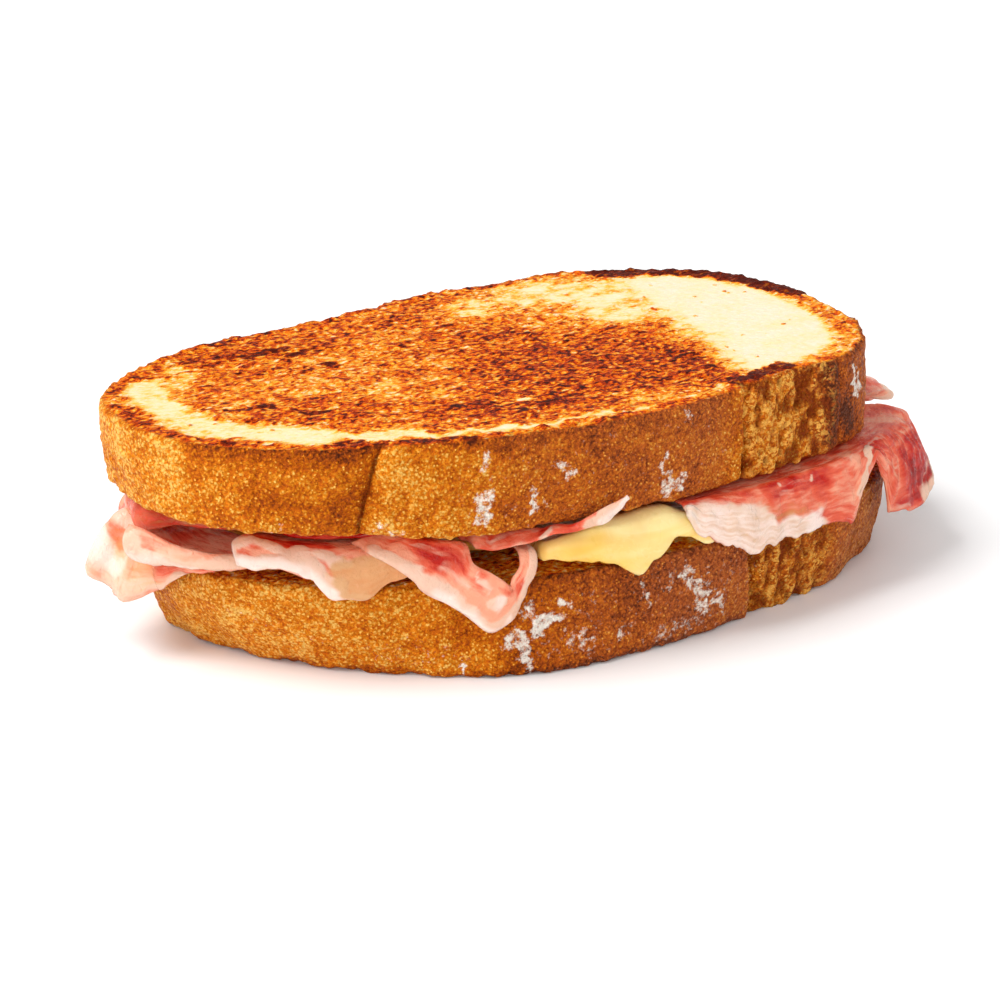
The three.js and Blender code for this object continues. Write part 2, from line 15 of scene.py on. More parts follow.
import bpy
import numpy as np
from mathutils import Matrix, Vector


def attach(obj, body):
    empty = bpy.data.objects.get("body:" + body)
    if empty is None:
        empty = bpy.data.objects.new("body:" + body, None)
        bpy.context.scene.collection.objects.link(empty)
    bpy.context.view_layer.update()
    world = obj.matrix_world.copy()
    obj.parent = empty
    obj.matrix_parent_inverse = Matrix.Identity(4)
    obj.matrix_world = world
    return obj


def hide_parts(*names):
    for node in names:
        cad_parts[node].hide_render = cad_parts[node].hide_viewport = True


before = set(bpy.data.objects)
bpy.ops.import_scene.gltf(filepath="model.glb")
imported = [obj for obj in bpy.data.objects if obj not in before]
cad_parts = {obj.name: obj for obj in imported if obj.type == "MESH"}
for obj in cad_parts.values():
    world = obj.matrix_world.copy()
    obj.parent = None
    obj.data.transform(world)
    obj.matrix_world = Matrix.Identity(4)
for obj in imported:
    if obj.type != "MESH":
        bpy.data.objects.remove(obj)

LOG = logging.getLogger("toastie")
MM = 0.001
ORIGIN = np.array([-6.0333, -0.9146, 0.0])
BODY = "root"

THICKNESS = 20.4
EDGE_ROUNDING = 1.7
BULGE = 0.5
GAP = 11.0
REACH = {"left": 93.0, "right": 69.0, "front": 46.5, "back": 39.5}
CORNER = {"front_left": 2.3, "front_right": 2.55, "back_right": 2.5, "back_left": 2.15}
MM_PER_DEGREE = 1.3

Array = np.ndarray
Row = tuple[float, ...]


class Mask(str, Enum):
    """What a vertex says about its place, for the finishes to read."""

    FACE = "on_face"
    TOAST = "toasted"
    CHAR = "charred"
    TONE = "crust_tone"
    MAUVE = "crust_mauve"
    TORN = "torn_side"
    FLOUR = "floured"
    # Painted shade in pits, cracks and creases, and a dark seed.
    SHADE_AND_SEEDS = "shaded_pits_and_seeds"
    CREASE = "from_crease_mm"
    FAT = "fat"
    DEEP = "deep_red"
    TAN = "tan"
    PALE = "pale"
    ALONG = "along_mm"
    ACROSS = "across_mm"


# Numbers and noise


def smooth(t: Array | float) -> Array:
    """Ease from 0 to 1 as t goes from 0 to 1, and stay there outside."""
    t = np.clip(t, 0.0, 1.0)
    return t * t * (3.0 - 2.0 * t)


def mix(a: Array | float, b: Array | float, t: Array | float) -> Array:
    """Blend from a to b by t."""
    return a + (b - a) * t


def turn(start: Array | float, end: Array | float) -> Array:
    """Shortest turn from one bearing to another, in degrees."""
    return (np.asarray(end) - start + 540.0) % 360.0 - 180.0


def bell(offset: Array, half_width: float) -> Array:
    """A smooth bump of height 1 round zero."""
    return np.exp(-((offset / half_width) ** 2))


def around(bearing: Array, radius: Array, centre: Row = (0.0, 0.0)) -> tuple[Array, Array]:
    """Coordinates of places at a bearing and a distance from a centre."""
    angle = np.radians(bearing)
    return centre[0] + radius * np.cos(angle), centre[1] + radius * np.sin(angle)


def eased(rows: tuple[Row, ...], at: Array, column: int) -> Array:
    """Read a column of a table at a place, eased from each row to the next.

    Args:
        rows: The table, whose first column is the place.
        at: The places to read.
        column: The column to read.

    Returns:
        The column's value at each place.
    """
    table = np.array(rows, float)
    places = np.clip(at, table[0, 0], table[-1, 0])
    row = np.clip(np.searchsorted(table[:, 0], places, side="right") - 1, 0, len(table) - 2)
    share = smooth((places - table[row, 0]) / (table[row + 1, 0] - table[row, 0]))
    return mix(table[row, column], table[row + 1, column], share)


def through(values: Array, place: Array) -> Array:
    """Read a smooth curve through values.

    Args:
        values: The values, along the first axis.
        place: Places along the curve, counted in values.

    Returns:
        The curve at each place, along the first axis.
    """
    count = len(values)
    i = np.clip(np.floor(place).astype(int), 0, count - 2)
    t = (place - i).reshape((-1,) + (1,) * (values.ndim - 1))
    before, a, b, after = (values[np.clip(i + k, 0, count - 1)] for k in (-1, 0, 1, 2))
    bend = (2 * before - 5 * a + 4 * b - after) * t * t
    return 0.5 * (2 * a + (b - before) * t + bend + (3 * (a - b) + after - before) * t**3)


def relaxed(rows: Array, passes: int) -> Array:
    """Round the corners of lines, whose ends stay.

    Args:
        rows: The lines, each a row.
        passes: How often each value moves towards its neighbours.

    Returns:
        The rounded lines.
    """
    for _ in range(passes):
        middle = 0.25 * rows[:, :-2] + 0.5 * rows[:, 1:-1] + 0.25 * rows[:, 2:]
        rows = np.concatenate([rows[:, :1], middle, rows[:, -1:]], axis=1)
    return rows


def lattice_random(cells: Array, seed: int) -> Array:
    """Give each cell of a lattice its own number from 0 to 1.

    Args:
        cells: Whole coordinates of the cells, with 3 on the last axis.
        seed: Which set of numbers.

    Returns:
        One number for each cell.
    """
    n = cells[..., 0] * 374761393 + cells[..., 1] * 668265263 + cells[..., 2] * 362437 + seed * 144665
    n &= 0xFFFFFFFF
    n = ((n ^ (n >> 13)) * 1274126177) & 0xFFFFFFFF
    return ((n ^ (n >> 16)) & 0xFFFFFF) / float(0x1000000)


def noise(points: Array, size: float | Row, seed: int, octaves: int = 1) -> Array:
    """Repeatable noise between about -1 and 1.

    Args:
        points: Places in millimetres, with 3 on the last axis.
        size: Millimetres over which the noise changes, one number or one for each axis.
        seed: Which noise.
        octaves: How many finer layers are laid over each other.

    Returns:
        The noise at each point.
    """
    total = np.zeros(points.shape[:-1])
    strength = 1.0
    scaled = points / np.array(size)
    for octave in range(octaves):
        base = np.floor(scaled).astype(np.int64)
        share = smooth(scaled - base)
        layer = np.zeros_like(total)
        for corner in range(8):
            step = np.array([corner & 1, (corner >> 1) & 1, corner >> 2])
            weight = np.prod(np.where(step == 1, share, 1.0 - share), axis=-1)
            layer += weight * lattice_random(base + step, seed + 17 * octave)
        total += strength * (2.0 * layer - 1.0)
        strength *= 0.5
        scaled = scaled * 2.03 + 11.7
    return total


def grains(points: Array, size: float, seed: int) -> tuple[Array, Array]:
    """Scatter grains over space and find the nearest two.

    Args:
        points: Places in millimetres.
        size: The grains' spacing in millimetres.
        seed: Which scatter.

    Returns:
        The distance to the nearest grain and to the next, both in grain spacings.
    """
    scaled = points / size
    base = np.floor(scaled).astype(np.int64)
    first = np.full(points.shape[:-1], 9.0)
    second = first.copy()
    for step in np.ndindex(3, 3, 3):
        cell = base + np.array(step) - 1
        centre = cell + np.stack([lattice_random(cell, seed + k) for k in range(3)], axis=-1)
        distance = np.sqrt(np.sum((scaled - centre) ** 2, axis=-1))
        second = np.minimum(second, np.maximum(first, distance))
        first = np.minimum(first, distance)
    return first, second


@dataclass(frozen=True)
class Stroke:
    """A soft-edged mark along a line, or round one point, whose widths are in millimetres."""

    line: tuple[Row, ...]
    width: float
    soft: float
    strength: float = 1.0

    def mask(self, x: Array, y: Array, scale: Row) -> Array:
        """Find how strong the mark is.

        Args:
            x: First coordinate of each place in millimetres.
            y: Second coordinate of each place in millimetres.
            scale: Millimetres in one unit of the line's own two coordinates.

        Returns:
            The mark's strength at each place, 0 outside it.
        """
        place = np.stack([x, y], axis=-1)
        line = np.array(self.line, float) * scale
        nearest = np.full(x.shape, 1e9)
        for a, b in zip(line, line[1:] if len(line) > 1 else line):
            run = b - a
            share = np.clip((place - a) @ run / max(run @ run, 1e-9), 0.0, 1.0)
            nearest = np.minimum(nearest, np.linalg.norm(place - a - share[..., None] * run, axis=-1))
        return self.strength * (1.0 - smooth((nearest - self.width) / self.soft))


Strokes = tuple[Stroke, ...]


def marked(strokes: Strokes, x: Array, y: Array, scale: Row = (1.0, 1.0)) -> Array:
    """The strongest of several marks at each place, 0 where there is none."""
    return np.max([np.zeros(x.shape)] + [stroke.mask(x, y, scale) for stroke in strokes], axis=0)


# Meshes


def cells(ids: Array) -> Array:
    """The cells of a grid of points' numbers, each as its four corners in turn."""
    return np.stack([ids[:-1, :-1], ids[1:, :-1], ids[1:, 1:], ids[:-1, 1:]], axis=-1).reshape(-1, 4)


@dataclass
class Draft:
    """A closed mesh on its way to Blender, in millimetres in the sandwich's own frame."""

    points: Array
    quads: Array
    triangles: Array = field(default_factory=lambda: np.zeros((0, 3), int))
    masks: dict[Mask, Array] = field(default_factory=dict)

    def normals(self) -> Array:
        """Work out which way each point faces from the quads round it.

        Returns:
            The points' unit normals.
        """
        p = self.points
        q = self.quads
        facing = np.cross(p[q[:, 2]] - p[q[:, 0]], p[q[:, 3]] - p[q[:, 1]])
        total = np.zeros_like(p)
        for corner, axis in np.ndindex(4, 3):
            total[:, axis] += np.bincount(q[:, corner], facing[:, axis], len(p))
        return total / np.maximum(np.linalg.norm(total, axis=1, keepdims=True), 1e-12)

    def placed(self, name: str, material: bpy.types.Material) -> bpy.types.Object:
        """Make the mesh in Blender, in the frame of the solids.

        Args:
            name: The object's name.
            material: Its finish.

        Returns:
            The object, shaded smooth and riding on the sandwich.
        """
        mesh = bpy.data.meshes.new(name)
        faces = self.quads.tolist() + self.triangles.tolist()
        mesh.from_pydata(((self.points + ORIGIN) * MM).tolist(), [], faces)
        mesh.polygons.foreach_set("use_smooth", np.ones(len(faces), bool))
        for mask, values in self.masks.items():
            attribute = mesh.attributes.new(mask.value, "FLOAT", "POINT")
            attribute.data.foreach_set("value", np.asarray(values, np.float32))
        mesh.materials.append(material)
        mesh.update()
        piece = bpy.data.objects.new(name, mesh)
        bpy.context.scene.collection.objects.link(piece)
        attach(piece, BODY)
        return piece


FLIPPED = (0, 3, 2, 1)


class Piece(ABC):
    """A piece of the sandwich, which stands for the solid of its name."""

    kind: str
    name: str
    slot: str

    @abstractmethod
    def draft(self) -> Draft:
        """Work out the piece's mesh and masks."""

    def build(self, finish: bpy.types.Material) -> bpy.types.Object:
        """Make the piece.

        Args:
            finish: Its material.

        Returns:
            The object.
        """
        piece = self.draft().placed(f"{self.kind}_{self.name}", finish)
        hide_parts(self.name)
        return piece


# Node trees


Colour = tuple[float, float, float, float]
Socket = bpy.types.NodeSocket


def srgb(*channels: int) -> Colour:
    """Turn a colour's values on screen into linear light.

    Args:
        *channels: Red, green and blue, 0 to 255.

    Returns:
        The colour, opaque.
    """
    shares = (value / 255 for value in channels)
    light = (s / 12.92 if s <= 0.04045 else ((s + 0.055) / 1.055) ** 2.4 for s in shares)
    return (*light, 1.0)


class Value:
    """An output in a node tree. A sign between two of them adds the node that works it out."""

    def __init__(self, tree: "Tree", socket: Socket) -> None:
        """Keep the output and the tree it is in."""
        self.tree = tree
        self.socket = socket

    def __add__(self, other: "Wire") -> "Value":
        """The sum."""
        return self.tree.math("ADD", self, other)

    def __sub__(self, other: "Wire") -> "Value":
        """The difference."""
        return self.tree.math("SUBTRACT", self, other)

    def __rsub__(self, other: "Wire") -> "Value":
        """What is left of a number when this is taken away."""
        return self.tree.math("SUBTRACT", other, self)

    def __mul__(self, other: "Wire") -> "Value":
        """The product."""
        return self.tree.math("MULTIPLY", self, other)

    def __abs__(self) -> "Value":
        """The value without its sign."""
        return self.tree.math("ABSOLUTE", self)

    def larger(self, other: "Wire") -> "Value":
        """The larger of the two."""
        return self.tree.math("MAXIMUM", self, other)

    def capped_sum(self, other: "Wire") -> "Value":
        """The sum, kept from 0 to 1."""
        return self.tree.math("ADD", self, other, clamp=True)

    def between(self, low: float, high: float) -> "Value":
        """Ease from 0 at low to 1 at high."""
        given = {"Value": self, "From Min": low, "From Max": high}
        return self.tree.value("ShaderNodeMapRange", "Result", given, interpolation_type="SMOOTHSTEP")


Wire = Value | float | Colour | Row
Inputs = dict[str | int, Wire]
Outputs = dict[str, Value]


class Tree:
    """Short calls to add nodes to a material or a node group."""

    def __init__(self, tree: bpy.types.NodeTree) -> None:
        """Keep the tree that nodes are added to."""
        self.tree = tree

    def node(self, kind: str, given: Inputs, **settings: object) -> bpy.types.Node:
        """Add a node.

        Args:
            kind: The node's type.
            given: What its inputs are given, by name or by number.
            **settings: Values for its properties.

        Returns:
            The node.
        """
        made = self.tree.nodes.new(kind)
        for key, value in settings.items():
            setattr(made, key, value)
        for key, value in given.items():
            self.wire(value, made.inputs[key])
        return made

    def value(self, kind: str, output: str | int, given: Inputs, **settings: object) -> Value:
        """Add a node and take one of its outputs."""
        return Value(self, self.node(kind, given, **settings).outputs[output])

    def wire(self, value: Wire, socket: Socket) -> None:
        """Join an output to an input, or set the input's own value.

        Args:
            value: The output, or the number or colour.
            socket: The input.
        """
        if isinstance(value, Value):
            self.tree.links.new(value.socket, socket)
        else:
            socket.default_value = value

    def math(self, operation: str, a: Wire, b: Wire = 0.0, clamp: bool = False) -> Value:
        """Add a calculation on one or two numbers, whose result may be kept from 0 to 1."""
        return self.value("ShaderNodeMath", 0, {0: a, 1: b}, operation=operation, use_clamp=clamp)

    def blend(self, share: Wire, a: Wire, b: Wire) -> Value:
        """Blend from colour a to colour b by share."""
        return self.value("ShaderNodeMix", 2, {"Factor": share, 6: a, 7: b}, data_type="RGBA")

    def ramp(self, value: Wire, stops: tuple[tuple[float, Colour], ...]) -> Value:
        """Read a colour from a row of colours.

        Args:
            value: Where along the row.
            stops: Each colour with its place.

        Returns:
            The colour.
        """
        made = self.node("ShaderNodeValToRGB", {"Fac": value})
        elements = made.color_ramp.elements
        while len(elements) < len(stops):
            elements.new(0.5)
        for element, (place, colour) in zip(elements, stops):
            element.position = place
            element.color = colour
        return Value(self, made.outputs["Color"])

    def mask(self, mask: Mask) -> Value:
        """Read a mask that the mesh holds."""
        return self.value("ShaderNodeAttribute", "Fac", {}, attribute_name=mask.value)

    def place(self) -> Value:
        """The place on the object, in metres."""
        return self.value("ShaderNodeTexCoord", "Object", {})

    def noise(
        self, vector: Wire, scale: Wire, detail: float = 2.0, rough: float = 0.5, twist: float = 0.0
    ) -> tuple[Value, Value]:
        """Add noise.

        Args:
            vector: Where it is read.
            scale: How fine it is.
            detail: How many finer layers it has.
            rough: How strong the finer layers are.
            twist: How far it is bent by itself.

        Returns:
            The noise from 0 to 1, and its colour.
        """
        given = {"Vector": vector, "Scale": scale, "Detail": detail, "Roughness": rough, "Distortion": twist}
        made = self.node("ShaderNodeTexNoise", given)
        return Value(self, made.outputs["Fac"]), Value(self, made.outputs["Color"])

    def speckle(self, vector: Wire, size: float, detail: float = 2.0, rough: float = 0.5) -> Value:
        """Noise from 0 to 1 that changes over a size in millimetres."""
        return self.noise(vector, 1.0 / (size * MM), detail, rough)[0]


def group(name: str, inputs: dict[str, str], outputs: dict[str, str]) -> tuple[Tree, Outputs, dict]:
    """Start a node group with named sockets.

    Args:
        name: The group's name.
        inputs: Each input's name and kind.
        outputs: Each output's name and kind.

    Returns:
        The group's tree, what it is given, and the sockets that take its results.
    """
    made = bpy.data.node_groups.new(name, "ShaderNodeTree")
    for side, sockets in (("INPUT", inputs), ("OUTPUT", outputs)):
        for socket, kind in sockets.items():
            made.interface.new_socket(socket, in_out=side, socket_type=kind)
    tree = Tree(made)
    start = tree.node("NodeGroupInput", {})
    given = {key: Value(tree, start.outputs[key]) for key in inputs}
    return tree, given, tree.node("NodeGroupOutput", {}).inputs


NUMBER = "NodeSocketFloat"
VECTOR = "NodeSocketVector"
COLOUR = "NodeSocketColor"


def build_grain_group() -> bpy.types.NodeTree:
    """Make the group that gives crumb, crust and meat their fine grain.

    Returns:
        The group.
    """
    tree, given, result = group(
        "fine_grain",
        {"Place": VECTOR, "Size": NUMBER, "Contrast": NUMBER},
        {"Grain": NUMBER, "Crumbs": NUMBER, "Patches": NUMBER, "Glints": NUMBER},
    )
    scale = tree.math("DIVIDE", 1.0 / MM, given["Size"])
    fine, colour = tree.noise(given["Place"], scale, 3.0, 0.62, 0.5)
    bend = {0: colour, 1: (0.5 * MM,) * 3, 2: given["Place"]}
    bent = tree.value("ShaderNodeVectorMath", 0, bend, operation="MULTIPLY_ADD")
    cells = tree.node("ShaderNodeTexVoronoi", {"Vector": bent, "Scale": scale * 0.9}, feature="F1")
    near = Value(tree, cells.outputs["Distance"])
    chosen = Value(tree, cells.outputs["Color"]).between(0.55, 0.62)
    tree.wire(((fine - 0.5) * given["Contrast"]).capped_sum(0.5), result["Grain"])
    tree.wire(1.0 - near.between(0.1, 0.75), result["Crumbs"])
    tree.wire(tree.speckle(given["Place"], 9.0, 3.0), result["Patches"])
    tree.wire((1.0 - near.between(0.14, 0.3)) * chosen, result["Glints"])
    return tree.tree


def build_dust_group() -> bpy.types.NodeTree:
    """Make the group that lays broken dust over a colour.

    Returns:
        The group.
    """
    tree, given, result = group(
        "flour_dust",
        {"Color": COLOUR, "Dust": COLOUR, "Amount": NUMBER},
        {"Color": COLOUR, "Cover": NUMBER},
    )
    place = tree.place()
    clumps = tree.speckle(place, 1.3, 2.0, 0.6) * 1.5
    powder = tree.speckle(place, 0.55, 3.0, 0.75) * 1.2
    broken = clumps + powder - 1.35
    reach = given["Amount"] * 0.95 + (broken - 0.5)
    cover = reach.between(-0.15, 0.42) * given["Amount"].between(0.0, 0.3)
    tree.wire(tree.blend(cover * 0.93, given["Color"], given["Dust"]), result["Color"])
    tree.wire(cover, result["Cover"])
    return tree.tree


def build_marbling_group() -> bpy.types.NodeTree:
    """Make the group that streaks meat with fat along its fibres.

    Returns:
        The group.
    """
    tree, given, result = group("marbling", {"Fat": NUMBER}, {"Fat": NUMBER, "Fibres": NUMBER})
    run = {"X": tree.mask(Mask.ALONG) * 0.22, "Y": tree.mask(Mask.ACROSS)}
    stretched = tree.value("ShaderNodeCombineXYZ", "Vector", run)
    wander, _ = tree.noise(stretched, 0.55, 3.0, twist=0.7)
    fibres, _ = tree.noise(stretched, 1.0, 3.0)
    body = (given["Fat"] + (wander - 0.5) * 0.9).between(0.22, 0.74)
    veins = wander.between(0.60, 0.74) * 0.55
    tree.wire(body.larger(veins), result["Fat"])
    tree.wire(fibres, result["Fibres"])
    return tree.tree


@dataclass
class Groups:
    """The shared node groups."""

    grain: bpy.types.NodeTree
    dust: bpy.types.NodeTree
    marbling: bpy.types.NodeTree


def new_material(name: str) -> tuple[bpy.types.Material, Tree, bpy.types.Node]:
    """Start a material.

    Args:
        name: Its name.

    Returns:
        The material, its tree and its Principled shader.
    """
    material = bpy.data.materials.new(name)
    material.use_nodes = True
    return material, Tree(material.node_tree), material.node_tree.nodes["Principled BSDF"]


def use_group(tree: Tree, shared: bpy.types.NodeTree, **values: Wire) -> Outputs:
    """Place a shared group in a material.

    Args:
        tree: The material's tree.
        shared: The group.
        **values: What its inputs are given.

    Returns:
        The group's results.
    """
    made = tree.node("ShaderNodeGroup", values, node_tree=shared)
    return {socket.name: Value(tree, socket) for socket in made.outputs}


@dataclass(frozen=True)
class Surface:
    """How a finish takes light. Depths are in millimetres."""

    specular: float
    scatter: float
    scatter_depth: float
    scatter_colours: Row
    bump_depth: float

    def dress(self, tree: Tree, shader: bpy.types.Node, colour: Value, rough: Value, height: Value) -> None:
        """Feed a finish into its shader.

        Args:
            tree: The material's tree.
            shader: Its shader.
            colour: The base colour.
            rough: The roughness.
            height: The relief, as a share of the bump depth.
        """
        given = {"Distance": self.bump_depth * MM, "Height": height}
        values = {
            "Base Color": colour,
            "Roughness": rough,
            "Specular IOR Level": self.specular,
            "Subsurface Weight": self.scatter,
            "Subsurface Scale": self.scatter_depth * MM,
            "Subsurface Radius": self.scatter_colours,
            "Normal": tree.value("ShaderNodeBump", "Normal", given),
        }
        for name, value in values.items():
            tree.wire(value, shader.inputs[name])


# Finishes


@dataclass(frozen=True)
class ToastedBread:
    """Crumb browned in a pan, and a sandy crust with flour and a torn side. Painted shade darkens its pits,
    cracks and creases, and painted glints lighten its grains.
    """

    faces: tuple[tuple[float, Colour], ...] = (
        (0.00, srgb(250, 214, 188)),
        (0.13, srgb(250, 208, 154)),
        (0.26, srgb(250, 184, 72)),
        (0.41, srgb(246, 146, 20)),
        (0.56, srgb(228, 102, 5)),
        (0.70, srgb(192, 60, 4)),
        (0.84, srgb(118, 30, 4)),
        (1.00, srgb(58, 14, 4)),
    )
    crust: tuple[tuple[float, Colour], ...] = (
        (0.00, srgb(252, 196, 98)),
        (0.24, srgb(226, 134, 20)),
        (0.48, srgb(196, 94, 5)),
        (0.74, srgb(146, 62, 8)),
        (1.00, srgb(66, 24, 6)),
    )
    mauve: Colour = srgb(204, 118, 74)
    mauve_deep: Colour = srgb(104, 38, 14)
    strands: Colour = srgb(255, 186, 84)
    flour: Colour = srgb(255, 247, 234)
    char: Colour = srgb(82, 18, 2)
    # Painted shade in the crust's pits, cracks and creases, and the colour of a dark seed.
    shade_and_seed_colour: Colour = srgb(112, 38, 3)
    sand_size: float = 0.72
    flake_size: float = 0.95
    flake_stretch: Row = (0.7, 1.05, 1.0)
    surface: Surface = Surface(0.07, 0.05, 1.0, (1.0, 0.5, 0.25), 0.42)

    def side_colour(self, tree: Tree, sand: Outputs, flakes: Outputs) -> Value:
        """Colour the crust with its painted glints, its matt parts and the strands of the torn side.

        Args:
            tree: The material's tree.
            sand: The crust's grain.
            flakes: The coarser grain.

        Returns:
            The colour.
        """
        # The glints lighten the crust's colour: painted glints of light over its sandy grain.
        sandy = (sand["Grain"] - 0.5) * 0.58 + (0.5 - sand["Crumbs"]) * 0.22 - sand["Glints"] * 0.24
        patch = (sand["Patches"] - 0.5) * 0.3
        colour = tree.ramp(tree.mask(Mask.TONE) + (sandy + patch), self.crust)
        matte = tree.blend((sandy * 1.6).capped_sum(0.36), self.mauve, self.mauve_deep)
        colour = tree.blend(tree.mask(Mask.MAUVE) * 0.6, colour, matte)
        strands = flakes["Grain"].between(0.4, 0.68) * 0.95
        return tree.blend(tree.mask(Mask.TORN) * strands, colour, self.strands)

    def hollow_shade_and_seeds(self, tree: Tree, place: Value) -> Value:
        """Find the painted shade in the pits, cracks and sunken strands, the dark seed, and the painted
        shade line of each crease.

        Args:
            tree: The material's tree.
            place: The place on the slice.

        Returns:
            1 in a shaded pit, on the seed or on a crease's shade line, and 0 away from them.
        """
        wiggle = (tree.speckle(place, 2.2) - 0.5) * 1.6
        from_line = abs(tree.mask(Mask.CREASE) + wiggle)
        return tree.mask(Mask.SHADE_AND_SEEDS).larger(1.0 - from_line.between(0.1, 0.6))

    def material(self, groups: Groups) -> bpy.types.Material:
        """Make the material.

        Args:
            groups: The shared node groups.

        Returns:
            The material.
        """
        made, tree, shader = new_material("toasted_bread")
        place = tree.place()
        flat = tree.value("ShaderNodeMapping", "Vector", {"Vector": place, "Scale": self.flake_stretch})
        sand = use_group(tree, groups.grain, Place=place, Size=self.sand_size, Contrast=2.4)
        flakes = use_group(tree, groups.grain, Place=flat, Size=self.flake_size, Contrast=2.6)
        toast = tree.mask(Mask.TOAST)
        on_face = tree.mask(Mask.FACE)
        lively = toast.between(0.06, 0.4) * 0.85 + 0.15
        flake = flakes["Grain"] - 0.5
        uneven = flake * 0.66 + (0.55 - flakes["Crumbs"]) * 0.28
        face_colour = tree.ramp(toast + uneven * lively, self.faces)
        colour = tree.blend(on_face, self.side_colour(tree, sand, flakes), face_colour)
        # Painted shade in the pits, cracks, torn recesses and creases, and the dark seed.
        colour = tree.blend(self.hollow_shade_and_seeds(tree, place) * 0.8, colour, self.shade_and_seed_colour)
        charred = (tree.mask(Mask.CHAR) + flake * 0.7).between(0.25, 0.95)
        colour = tree.blend(charred * 0.75, colour, self.char)
        dust = use_group(tree, groups.dust, Color=colour, Dust=self.flour, Amount=tree.mask(Mask.FLOUR))
        rough = dust["Cover"] * 0.3 + 0.5 - sand["Glints"] * 0.2
        sides = (sand["Grain"] * 0.6 + sand["Crumbs"]) * (1.0 - on_face)
        tops = (flakes["Grain"] + flakes["Crumbs"]) * lively * on_face
        self.surface.dress(tree, shader, dust["Color"], rough, sides + tops)
        return made


@dataclass(frozen=True)
class CuredHam:
    """Dry-cured ham: wet red meat with streaks and rims of white fat."""

    meat: tuple[tuple[float, Colour], ...] = (
        (0.00, srgb(240, 160, 128)),
        (0.30, srgb(226, 94, 64)),
        (0.62, srgb(192, 30, 16)),
        (1.00, srgb(140, 10, 8)),
    )
    fat: Colour = srgb(230, 186, 160)
    tan: Colour = srgb(212, 156, 98)
    pale: Colour = srgb(247, 224, 213)
    surface: Surface = Surface(0.24, 0.2, 1.2, (1.0, 0.42, 0.3), 0.3)

    def material(self, groups: Groups) -> bpy.types.Material:
        """Make the material.

        Args:
            groups: The shared node groups.

        Returns:
            The material.
        """
        made, tree, shader = new_material("cured_ham")
        marbling = use_group(tree, groups.marbling, Fat=tree.mask(Mask.FAT))
        grain = use_group(tree, groups.grain, Place=tree.place(), Size=1.5, Contrast=1.6)
        streak = marbling["Fibres"] - 0.5
        blotch = grain["Patches"] - 0.5
        colour = tree.ramp(tree.mask(Mask.DEEP) + (streak * 0.95 + blotch * 0.6), self.meat)
        white = tree.blend(tree.mask(Mask.PALE).capped_sum(blotch), self.fat, self.pale)
        colour = tree.blend(marbling["Fat"], colour, white)
        tan = tree.mask(Mask.TAN)
        thin = (tan + streak * 1.1).between(0.15, 0.9) * 0.8 * tan.between(0.0, 0.3)
        colour = tree.blend(thin, colour, self.tan)
        self.surface.dress(tree, shader, colour, grain["Grain"] * 0.24 + 0.1, grain["Grain"])
        return made


@dataclass(frozen=True)
class MeltedCheese:
    """Mild yellow cheese, softened, paler where it is thin and with a painted highlight higher up."""

    body: Colour = srgb(247, 199, 86)
    thin: Colour = srgb(252, 228, 160)
    deep: Colour = srgb(226, 148, 30)
    surface: Surface = Surface(0.36, 0.35, 1.6, (1.0, 0.7, 0.3), 0.2)

    def material(self, groups: Groups) -> bpy.types.Material:
        """Make the material.

        Args:
            groups: The shared node groups.

        Returns:
            The material.
        """
        made, tree, shader = new_material("melted_cheese")
        grain = use_group(tree, groups.grain, Place=tree.place(), Size=4.5, Contrast=1.0)
        colour = tree.blend(tree.mask(Mask.PALE), self.body, self.thin)
        colour = tree.blend(grain["Patches"].between(0.4, 0.75) * 0.26, colour, self.deep)
        self.surface.dress(tree, shader, colour, grain["Grain"] * 0.16 + 0.2, grain["Grain"])
        return made


@dataclass(frozen=True)
class WhiteFloor:
    """A plain white studio floor."""

    white: Colour = (0.93, 0.925, 0.92, 1.0)
    whiter: Colour = (0.94, 0.94, 0.94, 1.0)
    roughness: float = 0.45
    specular: float = 0.25

    def material(self) -> bpy.types.Material:
        """Make the material.

        Returns:
            The material.
        """
        made, tree, shader = new_material("studio_floor")
        colour = tree.blend(tree.speckle(tree.place(), 40.0), self.white, self.whiter)
        tree.wire(colour, shader.inputs["Base Color"])
        tree.wire(self.roughness, shader.inputs["Roughness"])
        tree.wire(self.specular, shader.inputs["Specular IOR Level"])
        return made


# Bread


@dataclass(frozen=True)
class Crease:
    """A fold in the crust that runs up a slice's side."""

    foot: float
    head: float
    depth: float
    half_width: float


@dataclass(frozen=True)
class Tear:
    """The side where the loaf was pulled from its neighbour, with a notch at its start."""

    foot: float
    head: float
    width: float
    recess: float
    notch: float


